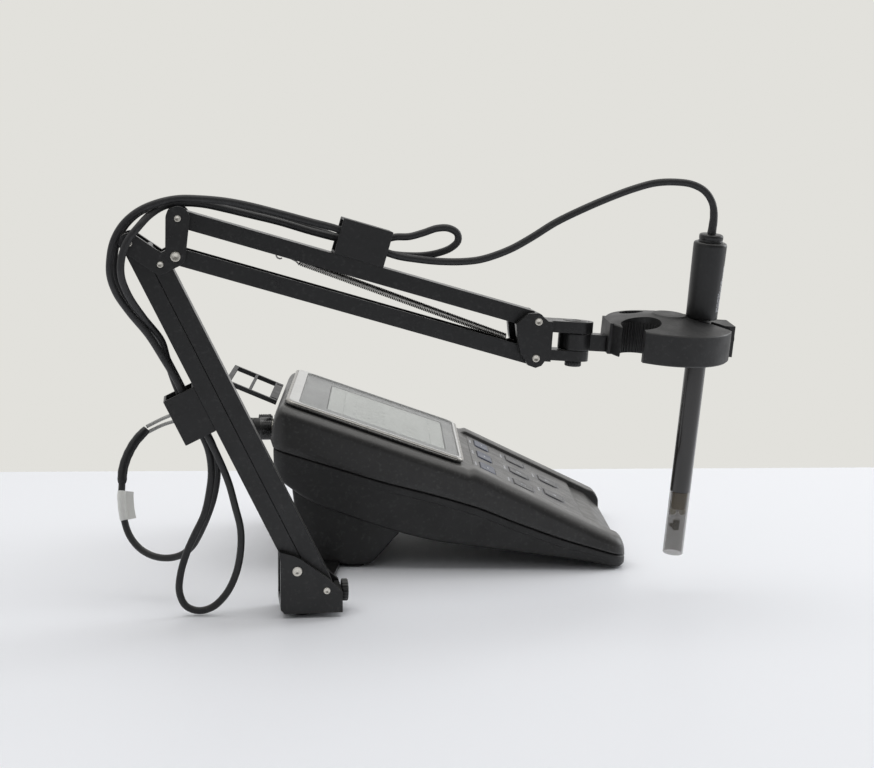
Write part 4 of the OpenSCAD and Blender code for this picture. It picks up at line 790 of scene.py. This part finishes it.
v, f = lathe(prof, 120, lambda a, i: .022 * math.cos(a * 20) if i in (4, 5) else (.012 * math.cos(a * 20) if i in (3, 6) else 0))
new_obj("base_knob_knurled", v, f, ARM @ T((22.6, 0, 11.6)) @ R(90, "Y"), "arm_base", M["arm_black"], smooth=45, replaces=("base_knob",))
prof = [(.001, -26.2), (3.2, -26.3), (4.3, -26.1), (4.75, -25.6), (4.75, -23.2), (4.4, -22.75), (2.5, -22.7), (2.5, -1.2), (7.2, -1.19), (7.3, -.9), (7.3, .2), (7.0, .62), (6.3, .72), (3.0, .72), (2.8, .45), (.001, .45)]
v, f = lathe(prof, 96, lambda a, i: .03 * math.cos(a * 16) if i in (3, 4) else 0)
new_obj("swivel_screw_turned", v, f, HEAD @ T((25.3, 0, 0)), "head", M["arm_black"], smooth=40, replaces=("swivel_screw",))

# spring between the upper bars, wound wire with a straight hook
def wire(points, r, sides=8):
    C = np.array(points, float); t, n = carried(C); return tube_mesh(C, t, n, r, sides)
pts = [(1.4 * math.cos(a) * 1. - .0, -8.4 - 1.5 * math.sin(a), 0) for a in [math.pi * j / 10 for j in range(0, 1)]]
hook = [(2.2 * math.cos(a), 0, -10 - 2.2 * math.sin(a)) for a in np.linspace(-.9, math.pi, 14)]
coil = [(1.7 * math.cos(a), 1.7 * math.sin(a), 2 + 126 * (a / (2 * math.pi * 118))) for a in np.linspace(0, 2 * math.pi * 118, 118 * 14)]
path = [(-2.2, 0, -9.4), (-1.2, 0, -7.2), (-.2, 0, -5.2), (0, 0, -3), (.3, 0, -.6), (1.0, 0, 1.1)] + coil + [(1.3, -.5, 128.9), (.8, -.2, 129.6), (0, 0, 131), (0, 0, 133.6)]
path = hook[:-1] + path[0:]
v, f = wire(path, .46, 7)
SPR = ARM @ T((-1, 0, 203.3)) @ R(20.6, "Y") @ R(90, "Y")
new_obj("upper_spring_coil", v, f, SPR, "bottom_bar", M["spring_steel"], smooth=60, replaces=("upper_spring",))

# ---------------------------------------------------------------- holder
refine("electrode_holder", M["holder_black"], .5, 3)
v, f = [], []
for (hx, hy, r, a0, a1, n, z1) in ((-20, -15, 11.6, -60, 150, 22, 9.2), (-18.5, 17.5, 7.2, 0, 345, 20, 9.4), (2.5, 25, 7.0, 0, 345, 20, 10.4), (17, 23, 6.0, 0, 340, 18, 10.2)):
    for k in range(n):
        a = rad(a0 + (a1 - a0) * k / (n - 1))
        cx, cy = hx + (r + .1) * math.cos(a), hy + (r + .1) * math.sin(a)
        rr = math.hypot(cx, cy)
        if rr > 35.6: continue
        zt = min(z1, 9.6 + max(0, (33.5 - rr)) * .178) - .2
        rib = [(cx + .75 * math.cos(t), cy + .75 * math.sin(t)) for t in [2 * math.pi * j / 10 for j in range(10)]]
        v, f = join((v, f), prism(rib, -8.8, zt, .2, 2))
new_obj("holder_ribs", v, f, HOLDER, "holder", M["holder_black"], smooth=40)

# ---------------------------------------------------------------- electrode
z0 = 9.06
cap = [(6.0, z0 - .02), (8.6, z0), (9.0, z0 + .25), (9.15, z0 + .6)]
for q in (.2, .4, .6, .8): cap.append((9.15 + .6 * q, z0 + .6 + 42.8 * q))
cap += [(9.72, z0 + 42.4), (9.72, z0 + 43.4), (9.55, z0 + 44.15), (9.15, z0 + 44.7), (8.5, z0 + 45), (7.1, z0 + 45.05)]
v, f = lathe(cap, 72)
new_obj("electrode_cap_skin", v, f, ELEC, "electrode", M["cap_black"], smooth=40, replaces=("electrode_cap",))
zc = z0 + 45
col = [(6.9, zc - .2), (7.0, zc + .1), (7.0, zc + 1.0), (6.8, zc + 1.25), (6.8, zc + 1.6), (7.0, zc + 1.85), (7.0, zc + 3.6), (6.75, zc + 4.2), (6.1, zc + 4.6), (3.6, zc + 4.65), (3.3, zc + 4.7)]
v, f = lathe(col, 64)
new_obj("electrode_collar_skin", v, f, ELEC, "electrode", M["cap_black"], smooth=40, replaces=("electrode_collar",))
# printed bars on the cap, without lettering
v, f = [], []
rng = np.random.default_rng(7)
for col_i, (ang, wd, zlo, zhi) in enumerate(((-14, .9, 24, 38), (-26, 2.1, 5, 32), (-38, .8, 5, 24), (-46, .8, 5, 16))):
    z = zlo
    while z < zhi:
        l = float(rng.uniform(.7, 2.6)); z2 = min(zhi, z + l)
        a0, a1 = rad(ang - wd * 3.2), rad(ang + wd * 3.2)
        base = len(v); q = 5
        for zz in (z, z2):
            for j in range(q):
                a = a0 + (a1 - a0) * j / (q - 1)
                r0 = 9.15 + .6 * max(0, min(1, (zz - .6) / 46)) + .035
                for rr in (r0 - .06, r0): v.append((rr * math.cos(a), rr * math.sin(a), z0 + zz))
        for j in range(q - 1):
            a = base + j * 2; b = base + (q + j) * 2
            f += [(a + 1, a + 3, b + 3, b + 1), (a, b, b + 2, a + 2)]
        a, b, c, d = base, base + 2 * (q - 1), base + 2 * q, base + 2 * (2 * q - 1)
        f += [(a, a + 1, c + 1, c), (b, d, d + 1, b + 1)]
        for j in range(q - 1):
            a = base + j * 2; b = base + (q + j) * 2
            f += [(a, a + 2, a + 3, a + 1), (b, b + 1, b + 3, b + 2)]
        z = z2 + float(rng.uniform(.35, .9))
new_obj("cap_print", v, f, ELEC, "electrode", M["print_white"], smooth=40)
tube_len = 106
v, f = lathe([(5.9, z0 + 7), (6.1, z0 + 6.5), (6.1, z0 - 60), (6.1, z0 - tube_len + .25), (5.9, z0 - tube_len), (5.2, z0 - tube_len), (3.6, z0 - tube_len + .1), (3.6, z0 - tube_len + 6)], 64)
new_obj("electrode_tube_skin", v, f, ELEC, "electrode", M["electrode_dark"], smooth=40, replaces=("electrode_body",))
zb = z0 - 145
v, f = ring([(6.1, z0 - tube_len - .02), (6.1, zb + .3), (5.95, zb), (5.25, zb), (5.1, zb + .25), (5.1, z0 - tube_len - .02)], 64)
new_obj("electrode_guard_tube", v, f, ELEC, "electrode", M["guard_smoke"], smooth=40, replaces=("electrode_guard",))
zs_ = z0 - tube_len
v, f = lathe([(4.3, zs_), (4.35, zs_ - 1), (4.3, zs_ - 6), (4.2, zs_ - 10.4), (3.9, zs_ - 11), (.001, zs_ - 11.1)], 40)
new_obj("inner_resin", v, f, ELEC, "electrode", M["amber"], smooth=40)
v, f = lathe([(2.3, zs_ + 1), (2.3, zs_ - 2.2), (2.0, zs_ - 2.6), (.001, zs_ - 2.7)], 28)
new_obj("inner_stem", v, f, ELEC, "electrode", M["chip_dark"], smooth=40)
v, f = [], []
for s in (-1, 1):
    bulb = [(.7, -90), (.7, -97.6), (1.0, -98.4), (1.7, -99), (2.05, -99.8), (2.1, -100.5), (1.9, -101.4), (1.3, -102.2), (.6, -102.55), (.001, -102.6)]
    v, f = join((v, f), moved(lathe(bulb, 32), T((s * 2.9, 0, -9.5))))
new_obj("sensor_bulbs", v, f, ELEC, "electrode", M["sensor_glass"], smooth=60, replaces=("sensor_tip",))
v, f = [], []
for s in (-1, 1): v, f = join((v, f), moved(lathe([(.28, -90), (.28, -100.8), (.001, -101)], 10), T((s * 2.9, 0, -9.5))))
v, f = join((v, f), moved(lathe([(.35, -98), (.35, -112), (.001, -112.1)], 10), T((0, 0, -9.5))))
new_obj("sensor_wires", v, f, ELEC, "electrode", M["connector_metal"], smooth=60)
v, f = join(prism(rounded([(-1.9, -1.2, .3), (1.9, -1.2, .3), (1.9, 1.2, .3), (-1.9, 1.2, .3)], 3), -121.5, -115.4, .2, 2), moved(prism(rounded([(-1.2, -1.2, .3), (1.2, -1.2, .3), (1.2, 1.2, .3), (-1.2, 1.2, .3)], 3), 0, 2.2, .2, 2), T((-2.6, .4, -120))))
new_obj("sensor_chip", v, f, ELEC, "electrode", M["chip_dark"], smooth=40)
# strain relief where the cable leaves the collar
C = LINE[:near(ARM, (239.8, -5.7, 227.5)) + 4]; t, n = LT[:len(C)], LN[:len(C)]
q = np.linspace(0, 1, len(C))
v, f = tube_mesh(C, t, n, [(2.6 - .42 * x ** .8 + .04 * math.cos(x * 40)) * MM for x in q], 24)
relief = new_obj("cable_relief", v, f, I4, "electrode", M["cable_jacket"], smooth=50)

# ---------------------------------------------------------------- stage, light
def plane(name, x0, x1, y0, y1, z):
    me = bpy.data.meshes.new(name); me.from_pydata([(x0, y0, z), (x1, y0, z), (x1, y1, z), (x0, y1, z)], [], [(0, 1, 2, 3)])
    o = bpy.data.objects.new(name, me); bpy.context.scene.collection.objects.link(o); return o
bpy.context.scene.view_settings.view_transform = "Standard"
floor = plane("floor", -4, 4, -4, .317, -.0002)
m, nt, b = principled("table_top")
co = nt.nodes.new("ShaderNodeTexCoord"); nz = node(nt, "ShaderNodeTexNoise", Scale=2.2, Detail=3.)
nt.links.new(co.outputs["Object"], nz.inputs["Vector"])
rp = nt.nodes.new("ShaderNodeValToRGB"); rp.color_ramp.elements[0].color = (.845, .862, .905, 1); rp.color_ramp.elements[1].color = (.865, .88, .92, 1)
nt.links.new(nz.outputs["Fac"], rp.inputs["Fac"]); nt.links.new(rp.outputs["Color"], b.inputs["Base Color"])
b.inputs["Roughness"].default_value = .5; b.inputs["Specular IOR Level"].default_value = .3
floor.data.materials.append(m)
world = bpy.data.worlds.new("studio"); bpy.context.scene.world = world; world.use_nodes = True
wt = world.node_tree; bg = wt.nodes["Background"]
lp = wt.nodes.new("ShaderNodeLightPath"); bg2 = wt.nodes.new("ShaderNodeBackground"); mxs = wt.nodes.new("ShaderNodeMixShader")
tc = wt.nodes.new("ShaderNodeTexCoord"); sp = wt.nodes.new("ShaderNodeSeparateXYZ"); mr = wt.nodes.new("ShaderNodeMapRange"); rp = wt.nodes.new("ShaderNodeValToRGB")
wt.links.new(tc.outputs["Generated"], sp.inputs[0])
# brighter above and behind the object than towards the viewer
ma = wt.nodes.new("ShaderNodeMath"); ma.operation = "MULTIPLY_ADD"; ma.inputs[1].default_value = .62
mb = wt.nodes.new("ShaderNodeMath"); mb.operation = "MULTIPLY"; mb.inputs[1].default_value = .55
wt.links.new(sp.outputs["Z"], mb.inputs[0]); wt.links.new(sp.outputs["Y"], ma.inputs[0]); wt.links.new(mb.outputs[0], ma.inputs[2])
wt.links.new(ma.outputs[0], mr.inputs[0])
for k, q in ((1, -.45), (2, .85), (3, 0.), (4, 1.)): mr.inputs[k].default_value = q
wt.links.new(mr.outputs[0], rp.inputs["Fac"])
rp.color_ramp.elements[0].color = (.13, .132, .135, 1); rp.color_ramp.elements[1].color = (1.35, 1.34, 1.32, 1)
wt.links.new(rp.outputs["Color"], bg.inputs["Color"]); bg.inputs["Strength"].default_value = .72
bg2.inputs["Color"].default_value = (.76, .752, .715, 1); bg2.inputs["Strength"].default_value = 1.
wt.links.new(lp.outputs["Is Camera Ray"], mxs.inputs[0]); wt.links.new(bg.outputs[0], mxs.inputs[1]); wt.links.new(bg2.outputs[0], mxs.inputs[2])
wt.links.new(mxs.outputs[0], wt.nodes["World Output"].inputs[0])
def area(name, loc, target, size, power, col=(1, 1, 1)):
    l = bpy.data.lights.new(name, "AREA"); l.shape = "RECTANGLE"; l.size, l.size_y = size; l.energy = power; l.color = col
    o = bpy.data.objects.new(name, l); bpy.context.scene.collection.objects.link(o)
    o.location = loc; o.rotation_euler = (Vector(target) - Vector(loc)).to_track_quat("-Z", "Y").to_euler()
area("ceiling", (0, .1, 1.9), (0, 0, .05), (2.4, 1.4), 12, (1, .99, .97))
area("window", (1.9, 1.0, .9), (0, 0, .1), (1.2, 1.4), 16, (.96, .98, 1))
area("fill", (-1.2, -1.8, 1.0), (0, 0, .1), (1.6, 1.2), 2.5)
